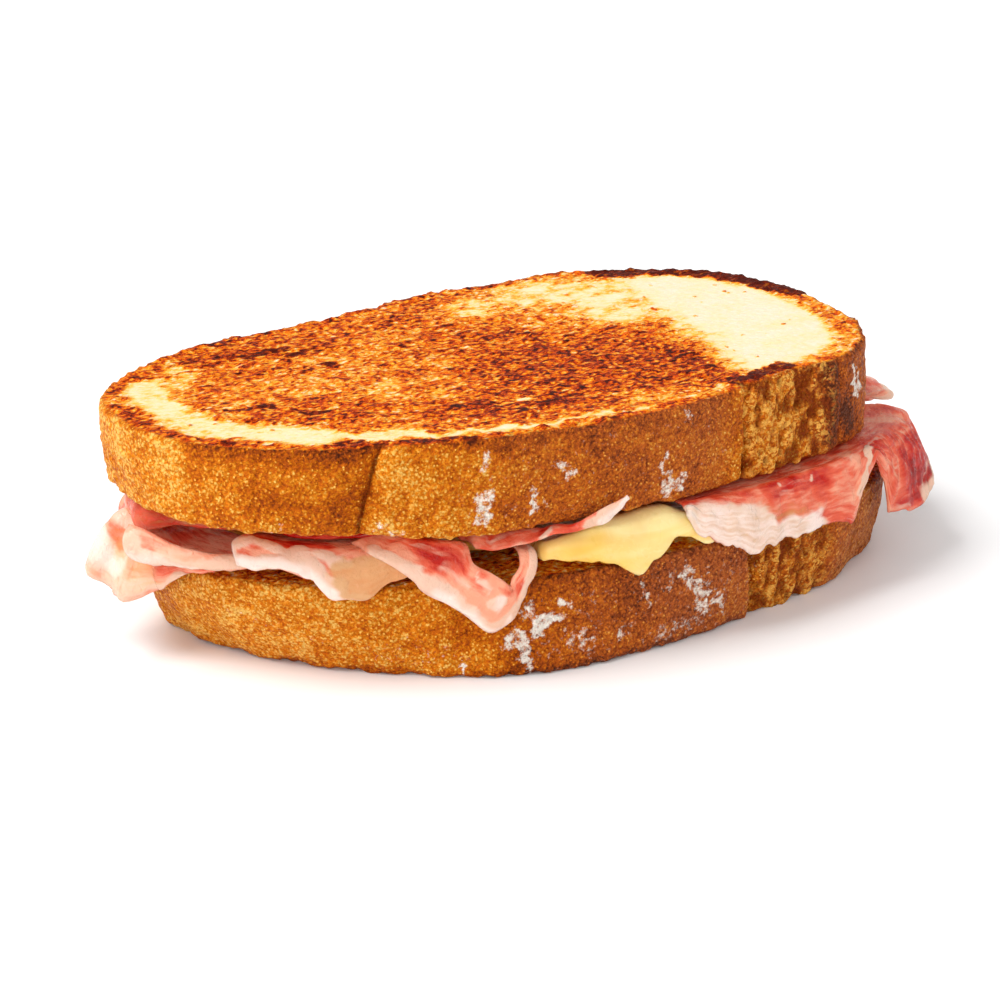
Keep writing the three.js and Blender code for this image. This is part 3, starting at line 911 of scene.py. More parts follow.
@dataclass(frozen=True)
class SliceForm:
    """The shape of one slice. A row of swell is a bearing, and the swell below and above there."""

    centre: tuple[float, float]
    bottom: float
    wedge: float
    creases: tuple[Crease, ...]
    tear: Tear
    swell: tuple[Row, ...]
    seed: int

    def reach(self, bearing: Array, level: Array | float) -> Array:
        """How far the smooth outline reaches.

        Args:
            bearing: Bearings in degrees.
            level: 0 at the underside and 1 at the upper face.

        Returns:
            The distance from the slice's middle.
        """
        bearing = np.asarray(bearing) % 360.0
        c, s = around(bearing, 1.0)
        across = np.where(c < 0, REACH["left"], REACH["right"])
        along = np.where(s < 0, REACH["front"], REACH["back"])
        front = np.where(c < 0, CORNER["front_left"], CORNER["front_right"])
        back = np.where(c < 0, CORNER["back_left"], CORNER["back_right"])
        n = np.where(s < 0, front, back)
        plain = (np.abs(c / across) ** n + np.abs(s / along) ** n) ** (-1.0 / n)
        rise = np.sin(np.asarray(level) * math.pi / 2)
        return plain + mix(eased(self.swell, bearing, 1), eased(self.swell, bearing, 2), rise)

    def into_tear(self, bearing: Array, level: Array) -> Array:
        """Degrees past the start of the torn side."""
        return turn(mix(self.tear.foot, self.tear.head, level), bearing)

    def torn_share(self, bearing: Array, level: Array) -> Array:
        """1 on the torn side and 0 on the crust."""
        into = self.into_tear(bearing, level)
        return smooth((into + 0.6) / 1.6) * smooth((self.tear.width - into) / 3)

    def dent(self, bearing: Array, level: Array) -> Array:
        """Find how far creases, the torn side and its notch stand in from the smooth outline.

        Args:
            bearing: Bearings in degrees.
            level: 0 at the underside and 1 at the upper face.

        Returns:
            The depth at each place.
        """
        dent = self.tear.recess * self.torn_share(bearing, level)
        dent += self.tear.notch * bell(self.into_tear(bearing, level) - 1.2, 1.5)
        for crease in self.creases:
            offset = turn(mix(crease.foot, crease.head, level), bearing)
            share = np.clip(np.abs(offset) / crease.half_width, 0.0, 1.0)
            dent += crease.depth * (1.0 - np.sqrt(1.0 - (1.0 - share) ** 2))
        return dent

    def wedge_lift(self, x: Array) -> Array:
        """How much thinner the left end is, from below."""
        return self.wedge * smooth((-18.0 - x) / 62.0)


LOWER_SWELL: tuple[Row, ...] = (
    (0, 0.5, 0.5), (15, 0, 0), (42, 1, 1), (57, 2, 2.4), (75, 1, 1), (100, 0.6, 0.8), (120, -1.2, -1.2),
    (138, -3, -2.4), (150, -0.4, 1), (160, 1.4, 2.6), (168, 1.6, 3.2), (173, -1.6, 2.6), (179, -6.6, 1),
    (187, -10.6, -1.5), (195, -11.6, -3), (203, -9.2, -3.4), (211, -5.6, -2.6), (219, -1.4, -1.2),
    (228, 2, 0), (237, 3.2, 0.5), (247, 3, 0.6), (260, 1.6, 0.4), (276, -0.2, 0), (290, -2.2, -0.8),
    (304, -3.2, -1.7), (319, -4, -0.4), (329, -5.4, -0.1), (340, -1.8, 0.3), (350, 0.6, 0.4),
    (360, 0.5, 0.5),
)
UPPER_SWELL: tuple[Row, ...] = (
    (0, 0.5, 0.2), (15, 0, -0.4), (26, 0.4, 0.6), (42, 1.2, 1.8), (57, 2.2, 3.2), (72, 1, 1.1),
    (90, 1, 1.5), (106, 0.4, 0.6), (120, -1, -1.4), (134, -2, -2.8), (142, -2, -3), (150, 0, 0.4),
    (158, 1, 1.6), (170, 0.6, 1.3), (181, -1.6, -0.2), (190, -0.8, -0.7), (200, -0.1, -0.9),
    (208, -1, -0.4), (214, -2.2, 0.1), (219, -0.4, 0.6), (226, 1, 0.9), (241, 0.3, 1.2), (260, 0.2, 1.7),
    (279, 0, 0.7), (292, -1, -0.8), (302, -0.6, -1.5), (313, -0.2, -2.2), (324, 1.5, 1.6), (333, 2.9, 2.3),
    (345, 2, 1.6), (353, 1, 0.5), (360, 0.5, 0.2),
)
LOWER = SliceForm(
    centre=(21.0, 4.2),
    bottom=0.0,
    wedge=0.0,
    creases=(Crease(252, 252, 0.5, 3.0),),
    tear=Tear(293.2, 289.6, 24.4, 1.1, 3.4),
    swell=LOWER_SWELL,
    seed=300,
)
UPPER = SliceForm(
    centre=(11.5, 3.2),
    bottom=THICKNESS + GAP,
    wedge=3.6,
    creases=(Crease(211.7, 215.7, 2.6, 4.2), Crease(324.5, 323.5, 1.5, 3.2)),
    tear=Tear(298, 299, 24, 1.0, 1.6),
    swell=UPPER_SWELL,
    seed=100,
)


@dataclass(frozen=True)
class FaceMarks:
    """Where the upper face is pale, darker and burnt, in millimetres on its plan."""

    crumb: Strokes = (
        Stroke(((-70, 17), (-71.5, 6), (-70, -6), (-65.5, -14), (-58, -20.5), (-51, -25.6)), 2.6, 4.0),
        Stroke(((-51, -26), (-42, -29.8), (-34, -33)), 0.8, 2.8, 0.95),
        Stroke(((-34, -34), (-20, -37.8), (0, -41), (20, -41.4), (31, -37.6)), 0.2, 2.0, 0.85),
        Stroke(((62, 22), (65, 8), (64, -6), (59, -20)), 8.0, 13.0),
        Stroke(((54, 28), (53, 10), (54, -10), (50, -26)), 3.0, 13.0),
        Stroke(((28, 33), (38, 26), (40, 14)), 3.0, 14.0, 0.72),
        Stroke(((10, 29), (24, 30)), 1.6, 9.0, 0.62),
        Stroke(((-64, 14), (-60, 22)), 1.0, 5.0, 0.6),
        Stroke(((-36, 24), (-30, 15)), 0.6, 4.5, 0.5),
        Stroke(((-46, 2), (-34, 4)), 0.4, 5.0, 0.45),
        Stroke(((-28, -8), (-18, -6)), 0.3, 5.0, 0.3),
        Stroke(((-7, -26),), 0.6, 1.4, 0.8),
    )
    dark: Strokes = (
        Stroke(((14, -20), (31, -21)), 7.0, 11.0, 1.0),
        Stroke(((-22, -27), (-2, -28), (10, -27)), 3.0, 8.0, 0.9),
        Stroke(((4, -8), (24, -5)), 6.0, 12.0, 0.8),
        Stroke(((0, 12), (18, 6)), 3.0, 10.0, 0.5),
        Stroke(((-56, 26), (-30, 30), (0, 33), (18, 34)), 2.0, 6.0, 0.4),
        Stroke(((-50, -11), (-38, -16)), 1.5, 8.0, 0.5),
    )
    burnt: Strokes = (
        Stroke(((50, 39), (60, 36), (66, 33), (71.5, 28), (76, 20), (79.5, 9)), 3.4, 3.0, 1.0),
        Stroke(((-49, -31.5), (-38, -36), (-26, -40)), 0.5, 1.8, 0.6),
        Stroke(((36, -37), (50, -33)), 1.1, 1.8, 0.95),
        Stroke(((-44, 23), (-36, 25)), 0.3, 2.6, 0.8),
        Stroke(((-36, 20), (-31, 21)), 0.3, 2.2, 0.8),
        Stroke(((-31, 11),), 0.6, 2.4, 0.85),
        Stroke(((-60, -5), (-52, -6)), 0.2, 2.2, 0.8),
        Stroke(((-47, -12), (-44, -13)), 0.4, 2.2, 0.75),
        Stroke(((31, -10),), 0.3, 1.6, 0.7),
    )

    def toast(self, points: Array, rim: Array, seed: int) -> Array:
        """Work out how browned the face is.

        Args:
            points: Places on the face.
            rim: Distance in from the outline.
            seed: Which noise.

        Returns:
            0 for pale crumb to 1 for the darkest toast.
        """
        x = points[:, 0] + 1.6 * noise(points, 4.0, seed + 1, 2)
        y = points[:, 1] + 1.6 * noise(points, 4.0, seed + 2, 2)
        toast = 0.45 + 0.09 * noise(points * (0.6, 1.0, 1.0), 6.0, seed + 3, 3)
        toast += 0.21 * marked(self.dark, x, y)
        pale = marked(self.crumb, x, y)
        broken = noise(points * (0.6, 1.1, 1.0), 2.0, seed + 9, 2)
        pale = np.clip(pale + 1.2 * broken * pale * (1 - pale), 0.0, 1.0)
        crumb = 0.04 + 0.05 * noise(points, 5.0, seed + 4, 2) + 0.07 * smooth((-20.0 - points[:, 0]) / 20.0)
        toast = mix(toast, crumb + self.specks(points, seed), pale)
        ends = smooth((np.abs(points[:, 0] - 5.0) - 40.0) / 30.0)
        right = smooth((points[:, 0] - 25.0) / 35.0)
        width = 2.2 + 1.6 * ends + 0.8 * right
        edge = 1.0 - smooth((rim + 1.2 * noise(points, 3.0, seed + 5, 2) - width) / (1.2 + 4.0 * right))
        return mix(toast, 0.56 - 0.2 * right + 0.12 * noise(points, 5.0, seed + 6, 2), edge)

    def specks(self, points: Array, seed: int) -> Array:
        """Scatter a few small browned specks over the pale crumb.

        Args:
            points: Places on the face.
            seed: Which scatter.

        Returns:
            How much browner each place is.
        """
        near, _ = grains(points, 3.4, seed + 30)
        chosen = lattice_random(np.floor(points / 5.0).astype(np.int64), seed + 31) > 0.45
        return 0.36 * chosen * (1.0 - smooth((near - 0.06) / 0.12))

    def char(self, points: Array, seed: int) -> Array:
        """Work out how burnt the face is.

        Args:
            points: Places on the face.
            seed: Which noise.

        Returns:
            0 for not burnt to 1 for black.
        """
        x = points[:, 0] + 1.2 * noise(points, 2.4, seed + 7, 2)
        y = points[:, 1] + 1.0 * noise(points, 2.0, seed + 8, 2)
        return marked(self.burnt, x, y)


@dataclass(frozen=True)
class WallMarks:
    """A side's tones by bearing, and its marks by bearing and height in millimetres."""

    tone: tuple[Row, ...]
    flour: Strokes
    mauve: tuple[Row, ...]
    shadows: Strokes = ()
    seeds: Strokes = ()


UPPER_WALL = WallMarks(
    # Darker at 213 than at 217, just left of the crease, where the crust rolls away from the light: painted
    # shade.
    tone=(
        (0, 0.5), (40, 0.42), (90, 0.55), (140, 0.4), (170, 0.16), (186, 0.2), (200, 0.38), (213, 0.45),
        (217, 0.24), (228, 0.3), (240, 0.5), (262, 0.52), (284, 0.47), (297, 0.4), (312, 0.38), (319, 0.56),
        (327, 0.6), (336, 0.52), (360, 0.5),
    ),
    flour=(
        Stroke(((232.8, 18), (232.2, 15)), 0.5, 1.6, 0.5),
        Stroke(((232, 9.5), (231.6, 3)), 0.5, 2.4, 0.68),
        Stroke(((241, 7), (241.6, 5.4)), 0.7, 1.8, 0.75),
        Stroke(((244.6, 6.6),), 0.3, 1.2, 0.7),
        Stroke(((248, 13), (249.4, 10.6)), 0.7, 2.4, 0.58),
        Stroke(((273.6, 9), (274.4, 7.2)), 0.5, 1.5, 0.62),
        Stroke(((275.6, 5), (279, 3)), 1.2, 1.8, 0.68),
        Stroke(((280, 18.2), (283, 17.6)), 0.3, 2.0, 0.45),
        Stroke(((327.4, 17.5), (329, 10)), 0.5, 1.3, 0.72),
        Stroke(((203, 3.6),), 0.4, 2.0, 0.45),
        Stroke(((234, 8), (286, 8)), 8.0, 6.0, 0.15),
        Stroke(((215, 3.2), (219, 2.6)), 0.3, 1.8, 0.5),
        Stroke(((20, 12), (26, 7)), 1.2, 3.0, 0.6),
        Stroke(((84, 9), (90, 12)), 1.0, 3.0, 0.6),
        Stroke(((150, 8), (154, 6)), 0.8, 2.6, 0.55),
    ),
    mauve=(
        (0, 0.3), (60, 0.1), (225, 0), (245, 0.25), (290, 0.5), (297, 0.1), (316, 0.1), (323, 0.3),
        (348, 0.3), (360, 0.3),
    ),
    shadows=(
        Stroke(((195, 20.4), (214.5, 20)), 0.8, 4.0, 0.2),
        Stroke(((228, 20), (245, 19.5)), 0.8, 3.0, 0.16),
        Stroke(((321.5, 18), (322, 3)), 1.0, 2.4, 0.3),
        Stroke(((325.5, 8), (327, 4)), 0.9, 2.0, 0.42),
    ),
    seeds=(Stroke(((315.5, 13.2), (315.8, 14.3)), 0.85, 0.5, 1.0),),
)
LOWER_WALL = WallMarks(
    tone=(
        (0, 0.55), (50, 0.45), (100, 0.5), (150, 0.3), (175, 0.18), (196, 0.2), (214, 0.28), (224, 0.4),
        (234, 0.55), (248, 0.58), (266, 0.58), (288, 0.54), (296, 0.42), (314, 0.44), (322, 0.28),
        (345, 0.36), (360, 0.5),
    ),
    flour=(
        Stroke(((235, 10.6), (238, 11.6)), 1.0, 2.2, 0.9),
        Stroke(((231.6, 12.6), (233, 13.6)), 0.8, 1.8, 0.6),
        Stroke(((230, 8), (232, 6)), 0.8, 2.4, 0.74),
        Stroke(((231.6, 3.4), (232.4, 1.8)), 0.8, 2.0, 0.86),
        Stroke(((221.4, 2.6),), 0.8, 1.3, 0.85),
        Stroke(((271.6, 15), (275, 11), (276.6, 7.4)), 1.5, 3.0, 0.68),
        Stroke(((265.4, 13.4),), 0.7, 1.8, 0.62),
        Stroke(((258, 15), (259.6, 10)), 0.3, 1.6, 0.62),
        Stroke(((280, 9), (282, 5.6)), 0.7, 2.2, 0.58),
        Stroke(((252, 5.2),), 0.4, 2.0, 0.6),
        Stroke(((241, 7), (246, 4)), 0.3, 3.0, 0.5),
        Stroke(((208, 6), (221, 5)), 1.2, 4.5, 0.22),
        Stroke(((190, 13), (200, 8)), 0.6, 4.0, 0.2),
        Stroke(((262, 3), (275, 4)), 0.6, 3.0, 0.46),
        Stroke(((236, 7), (288, 9)), 7.0, 6.0, 0.2),
        Stroke(((30, 9), (36, 12)), 1.2, 3.0, 0.6),
        Stroke(((100, 8), (106, 11)), 1.0, 3.0, 0.6),
    ),
    mauve=(
        (0, 0.3), (60, 0.1), (228, 0), (250, 0.35), (272, 0.75), (289, 0.8), (295, 0.1), (313, 0.2),
        (319, 1.0), (345, 1.0), (360, 0.3),
    ),
    shadows=(Stroke(((180, 0), (290, 0)), 0.3, 2.2, 0.25),),
)


@dataclass
class BreadSlice(Piece):
    """One slice of bread, as a grid on its upper face that meets rings of its side and underside.

    Sizes and depths of the relief are in millimetres. The corners are the grid's, as bearings.
    """

    name: str
    form: SliceForm
    wall: WallMarks
    face: FaceMarks | None
    front_cells: int
    side_cells: int
    wall_rows: int = 34
    rounding_rows: int = 4
    underside: Row = (0.985, 0.95, 0.84, 0.62, 0.34)
    corners: Row = (208.0, 331.0, 386.0, 514.0)
    sand_size: float = 1.15
    strand_size: float = 1.9
    strand_depth: float = 0.75
    hole_size: float = 2.5
    hole_depth: float = 0.6
    crack_size: float = 6.0
    crack_depth: float = 0.45
    crack_width: float = 0.06
    flake_size: float = 1.7
    flake_depth: float = 0.34
    bubble_size: float = 2.0
    bubble_depth: float = 0.4
    kind = "toasted"
    slot = "crust"

    def columns(self) -> Array:
        """Space the columns evenly along each side between the grid's corners.

        Returns:
            The columns' bearings.
        """
        runs = []
        bounds = [*self.corners, self.corners[0] + 360.0]
        counts = [self.front_cells, self.side_cells] * 2
        for start, end, count in zip(bounds, bounds[1:], counts):
            fine = np.linspace(start, end, 600)
            x, y = around(fine, self.form.reach(fine, 0.6))
            length = np.concatenate([[0.0], np.cumsum(np.hypot(np.diff(x), np.diff(y)))])
            runs.append(np.interp(np.linspace(0, length[-1], count + 1)[:-1], length, fine))
        return np.concatenate(runs)

    def at(self, bearing: Array, radius: Array, level: Array) -> Array:
        """Find places on the slice.

        Args:
            bearing: Bearings in degrees.
            radius: Distances from the slice's middle.
            level: 0 at the underside and 1 at the upper face.

        Returns:
            The places.
        """
        x, y = around(bearing, radius, self.form.centre)
        below = self.form.bottom + self.form.wedge_lift(x)
        return np.stack([x, y, mix(below, self.form.bottom + THICKNESS, level)], axis=-1)

    def profile(self) -> list[tuple[float, float]]:
        """Lay out the side's rings.

        Returns:
            Their insets and levels, from the underside's edge to the upper face's.
        """
        lift = EDGE_ROUNDING / THICKNESS
        curve = np.linspace(0, math.pi / 2, self.rounding_rows + 1)
        lower = [(EDGE_ROUNDING * (1 - math.sin(a)), lift * (1 - math.cos(a))) for a in curve]
        straight = [(0.0, level) for level in np.linspace(lift, 1 - lift, self.wall_rows + 1)[1:-1]]
        upper = [(inset, 1 - level) for inset, level in reversed(lower)]
        return lower + straight + upper

    def rings(self, bearings: Array) -> tuple[Array, Array, Array]:
        """Build the rings of the underside and the side, from below.

        Args:
            bearings: The columns' bearings.

        Returns:
            The rings' points, their levels, and how far they lie in from the outline.
        """
        none = np.zeros_like(bearings)
        outline = self.form.reach(bearings, 0.0) - EDGE_ROUNDING
        inner = outline - self.form.dent(bearings, none)
        rows = [(inner * s, none, EDGE_ROUNDING + outline * (1 - s)) for s in reversed(self.underside)]
        for inset, height in self.profile():
            level = none + height
            swell = BULGE * math.sin(math.pi * height) - inset
            radius = self.form.reach(bearings, height) + swell - self.form.dent(bearings, level)
            rows.append((radius, level, none + inset))
        radius, level, rim = (np.stack(column) for column in zip(*rows))
        return self.at(bearings, radius, level), level, rim

    def face_grid(self) -> tuple[Array, Array]:
        """Lay a square grid over the upper face, whose border is the top ring.

        Returns:
            Each point's place round the slice, counted in columns, and its share of the way out.
        """
        n, m = self.front_cells, self.side_cells
        a, b = np.meshgrid(np.linspace(-1, 1, n + 1), np.linspace(-1, 1, m + 1), indexing="ij")
        share = np.maximum(np.abs(a), np.abs(b))
        facing_y = np.abs(b) >= np.abs(a)
        along = np.where(facing_y, a, b) / np.maximum(share, 1e-9)
        place = np.select(
            [facing_y & (b <= 0), ~facing_y & (a > 0), facing_y & (b > 0)],
            [(along + 1) / 2 * n, n + (along + 1) / 2 * m, n + m + (1 - along) / 2 * n],
            2 * n + m + (1 - along) / 2 * m,
        )
        return place, share

    def smooth_draft(self) -> tuple[Draft, Array, Array, Array]:
        """Build the slice without its small relief.

        Returns:
            The mesh, each point's bearing, its level, and how far it lies in from the outline.
        """
        bearings = self.columns()
        count = len(bearings)
        rings, level, rim = self.rings(bearings)
        ids = np.arange(level.size).reshape(level.shape)
        sides = cells(np.concatenate([ids, ids[:, :1]], axis=1))[:, FLIPPED]
        place, share = self.face_grid()
        inner = share < 1.0
        face_ids = ids[-1][np.round(place).astype(int) % count]
        face_ids[inner] = level.size + np.arange(inner.sum())
        place, share = place[inner], share[inner]
        turned = np.interp(place, np.arange(count + 1), np.append(bearings, bearings[0] + 360.0))
        reach = np.hypot(*(rings[-1][:, :2] - self.form.centre).T)
        reach = np.interp(place, np.arange(count + 1), np.append(reach, reach[0]))
        face = self.at(turned, reach * share, np.ones_like(share))
        middle = level.size + len(share)
        fan = np.stack([np.full(count, middle), (np.arange(count) + 1) % count, np.arange(count)], axis=-1)
        points = np.concatenate([rings.reshape(-1, 3), face, [[*self.form.centre, self.form.bottom]]])
        draft = Draft(points, np.concatenate([sides, cells(face_ids)]), fan)
        bearing = np.concatenate([np.tile(bearings, len(rings)), turned, [0.0]]) % 360.0
        level = np.concatenate([level.ravel(), np.ones_like(share), [0.0]])
        rim = np.concatenate([rim.ravel(), EDGE_ROUNDING + (1 - share) * reach, [40.0]])
        return draft, bearing, level, rim

    def browning(self, p: Array, level: Array, rim: Array) -> tuple[Array, Array]:
        """Work out how the faces are browned and burnt.

        Args:
            p: The slice's points.
            level: 0 at the underside and 1 at the upper face.
            rim: How far each point lies in from the outline.

        Returns:
            How toasted and how charred each point is, as if all lay on a face.
        """
        seed = self.form.seed
        uneven = 0.1 * noise(p, 9.0, seed + 13, 2)
        upper = smooth((level - 0.5) / 0.2)
        if self.face is None:
            return uneven + mix(0.6, 0.43, upper), np.zeros(len(p))
        char = self.face.char(p, seed) * smooth((level - 0.93) / 0.05)
        toast = mix(0.43 + uneven, self.face.toast(p, rim, seed), upper)
        return np.maximum(toast, 0.8 * smooth(char * 1.7)), char

    def draft(self) -> Draft:
        """Build the slice with its relief and masks.

        Returns:
            The mesh.
        """
        draft, bearing, level, rim = self.smooth_draft()
        p = draft.points
        seed = self.form.seed
        on_top = smooth((level - 0.96) / 0.03) * smooth((rim - 0.5) / 0.8)
        on_face = np.maximum(on_top, (level < 0.02) * smooth((rim - 0.9) / 0.8))

        # Relief of the side
        torn = self.form.torn_share(bearing, level) * (1 - on_face)
        strands = noise(p * (1.0, 1.0, 0.55), self.strand_size, seed, 4)
        near, _ = grains(p, self.sand_size, seed + 20)
        holes, _ = grains(p * (1.0, 1.0, 0.7), self.hole_size, seed + 24)
        hole = 1.0 - smooth((holes - 0.14) / 0.22)
        sandy = 0.14 * noise(p, 5.0, seed + 9, 3) + 0.24 * noise(p, 1.5, seed + 10, 2) + 0.14 * (0.55 - near)
        ragged = self.strand_depth * strands - self.hole_depth * hole + 0.4 * (0.5 - near)
        side = mix(sandy, ragged, torn)
        brink = smooth((np.abs(level - 0.5) - 0.4) / 0.07) * (1 - on_face)
        frayed = noise(p, 2.0, seed + 11, 2)
        side += brink * (0.42 * frayed + 0.1)
        mauve = eased(self.wall.mauve, bearing, 1) * (1 - on_face)
        cracks = bell(noise(p * (1.0, 1.0, 0.7), self.crack_size, seed + 12, 2), self.crack_width)
        cracks = cracks * smooth((mauve - 0.75) / 0.2)
        side -= self.crack_depth * cracks

        # Relief of the faces
        toast, char = self.browning(p, level, rim)
        browned = smooth((toast - 0.12) / 0.26)
        flakes = noise(p * (0.75, 1.25, 1.0), self.flake_size, seed + 14, 2)
        bubbles, _ = grains(p * (0.8, 1.2, 1.0), self.bubble_size, seed + 28)
        crisp = self.flake_depth * flakes + self.bubble_depth * (0.5 - bubbles)
        top = -0.3 + 0.12 * noise(p, 16.0, seed + 15, 2) + browned * crisp
        top += (1 - browned) * (0.05 * noise(p, 1.2, seed + 16) - 0.1)
        top += (1.0 - smooth((rim - 2.0) / 3.0)) * (0.35 * noise(p, 1.9, seed + 22, 2) + 0.12)
        under = 0.1 * noise(p, 3.0, seed + 17, 2) - 0.1
        relief = mix(side, np.where(level > 0.5, top, under), on_face)
        draft.points = p + draft.normals() * relief[:, None]
        if self.form.bottom == 0.0:
            draft.points[:, 2] = np.maximum(draft.points[:, 2], 0.0)

        # What the finish reads
        run = bearing * MM_PER_DEGREE
        height = p[:, 2] - self.form.bottom
        scale = (MM_PER_DEGREE, 1.0)
        # The crust's tone, with the painted shadows and the painted shade beside the creases.
        tone = eased(self.wall.tone, bearing, 1) + marked(self.wall.shadows, run, height, scale)
        tone += 0.3 * char + 0.14 * smooth((level - 0.93) / 0.05) + 0.08 * noise(p, 7.0, seed + 18, 2)
        tone -= (0.45 * sandy + 0.12 * brink * frayed) * (1 - torn) + 0.04 * torn
        wander = 1.8 * noise(p, 2.5, seed + 19, 3)
        # Painted shade where the torn side's strands sink.
        dark = torn * smooth((-strands - 0.05) / 0.4)
        seeds = marked(self.wall.seeds, run, height, scale)
        draft.masks = {
            Mask.FACE: on_face,
            Mask.TOAST: toast + browned * (0.24 * flakes - 0.2 * (0.5 - bubbles)),
            Mask.CHAR: char,
            Mask.TONE: tone,
            Mask.MAUVE: mauve,
            Mask.TORN: torn * smooth(strands + 0.5),
            Mask.FLOUR: marked(self.wall.flour, run + wander, height + wander, scale) * (1 - on_face),
            # Painted shade in holes, cracks and sunken strands, and the dark seed.
            Mask.SHADE_AND_SEEDS: np.max([torn * hole * 0.8, cracks * 0.7, dark * 0.9, seeds], axis=0),
            Mask.CREASE: self.from_crease(bearing, level, on_face),
        }
        return draft

    def from_crease(self, bearing: Array, level: Array, on_face: Array) -> Array:
        """Find how far the nearest crease is, whose painted shade line is the thinner the shallower it is.

        Args:
            bearing: Bearings in degrees.
            level: 0 at the underside and 1 at the upper face.
            on_face: 1 on the faces, where no line shows.

        Returns:
            The signed distance in line widths.
        """
        nearest = np.full_like(level, 30.0)
        for crease in self.form.creases:
            offset = turn(mix(crease.foot, crease.head, level), bearing) * MM_PER_DEGREE
            offset /= min(crease.depth / 2.4, 1.0)
            nearest = np.where(np.abs(offset) < np.abs(nearest), offset, nearest)
        return nearest + np.sign(nearest) * 8.0 * on_face


# Fillings


def over_crust(bearing: Array, out: Array, z: Array) -> Array:
    """Find places that stand out from the lower slice's crust, or lie over it.

    Args:
        bearing: Bearings in degrees.
        out: Distances out from the crust.
        z: Heights.

    Returns:
        The places.
    """
    radius = LOWER.reach(bearing, np.clip(z / THICKNESS, 0.0, 1.0)) + out
    x, y = around(bearing, radius, LOWER.centre)
    return np.stack([x, y, z + np.zeros_like(x)], axis=-1)


def hanging_section(rows: Array, inside: float, tail: float, columns: int) -> tuple[Array, Array]:
    """Draw sheets from inside the sandwich, over the lip and down to their free edge.

    Args:
        rows: How far each reaches out, its height at the lip and its edge's, in columns.
        inside: How far inside the crust they start.
        tail: The height where they start.
        columns: How many cells each has along its line.

    Returns:
        The distances out from the crust and the heights, with a row for each sheet.
    """
    reach, lift, edge = rows
    slope = smooth((reach - 4) / 6)
    flat = smooth((2.2 - reach) / 3)
    drop = lift - edge
    start = np.full_like(reach, -inside)
    hanging = [reach * mix(0.6, 0.3, slope) - 0.6, reach * mix(1, 0.64, slope), reach - 0.3]
    lying = [reach - 2.4, reach - 1.2, reach]
    outs = [start, np.minimum(-2, reach - 4)] + [mix(a, b, flat) for a, b in zip(hanging, lying)]
    shoulder = lift - drop * mix(0.45, 0.35, slope)
    heights = [np.full_like(reach, tail), mix(tail, lift, 0.75), lift, shoulder, edge]
    place = np.linspace(0, 4, columns + 1)
    out, z = (relaxed(through(np.stack(values), place).T, columns // 4) for values in (outs, heights))
    return out, z


def spaced(grid: Array) -> tuple[Array, Array]:
    """Measure a grid of points from its first corner.

    Args:
        grid: The points, in rows and columns.

    Returns:
        Millimetres along and across to each point.
    """
    along = np.linalg.norm(np.diff(grid, axis=0), axis=2).mean(axis=1)
    across = np.linalg.norm(np.diff(grid, axis=1), axis=2).mean(axis=0)
    a, b = (np.concatenate([[0.0], np.cumsum(steps)]) for steps in (along, across))
    return np.meshgrid(a, b, indexing="ij")


def facing(along: Array, across: Array) -> Array:
    """Unit normals of a sheet, from its directions along and across."""
    normal = np.cross(along, across)
    return normal / np.maximum(np.linalg.norm(normal, axis=2, keepdims=True), 1e-9)


def rounded(distance: Array, width: float, least: float) -> Array:
    """How full a sheet is at a distance from its edge: least at the edge and 1 from width inwards."""
    share = np.clip(distance / width, 0.0, 1.0)
    return least + (1.0 - least) * np.sqrt(1.0 - (1.0 - share) ** 2)


def sheet_draft(grid: Array, thickness: Array, masks: dict[Mask, Array], closed: bool = False) -> Draft:
    """Give a grid of points thickness.

    Args:
        grid: The points, in rows and columns.
        thickness: How thick the sheet is at each point.
        masks: Its masks at each point.
        closed: Whether the last row joins the first.

    Returns:
        The closed sheet, first the points of one side and then those of the other.
    """
    along = np.gradient(grid, axis=0)
    if closed:
        along = (np.roll(grid, -1, axis=0) - np.roll(grid, 1, axis=0)) / 2
    half = facing(along, np.gradient(grid, axis=1)) * (thickness[..., None] / 2)
    points = np.concatenate([(grid + half).reshape(-1, 3), (grid - half).reshape(-1, 3)])
    ids = np.arange(thickness.size).reshape(thickness.shape)
    if closed:
        ids = np.concatenate([ids, ids[:1]])
    other = ids + thickness.size
    quads = [cells(ids), cells(other)[:, FLIPPED]]
    for edge in (0, -1):
        run = np.stack([ids[:-1, edge], other[:-1, edge], other[1:, edge], ids[1:, edge]], -1)
        quads.append(run[:, ::-1] if edge else run)
        if not closed:
            run = np.stack([ids[edge, :-1], ids[edge, 1:], other[edge, 1:], other[edge, :-1]], -1)
            quads.append(run[:, ::-1] if edge else run)
    tiled = {mask: np.tile(values.ravel(), 2) for mask, values in masks.items()}
    return Draft(points, np.concatenate(quads), masks=tiled)


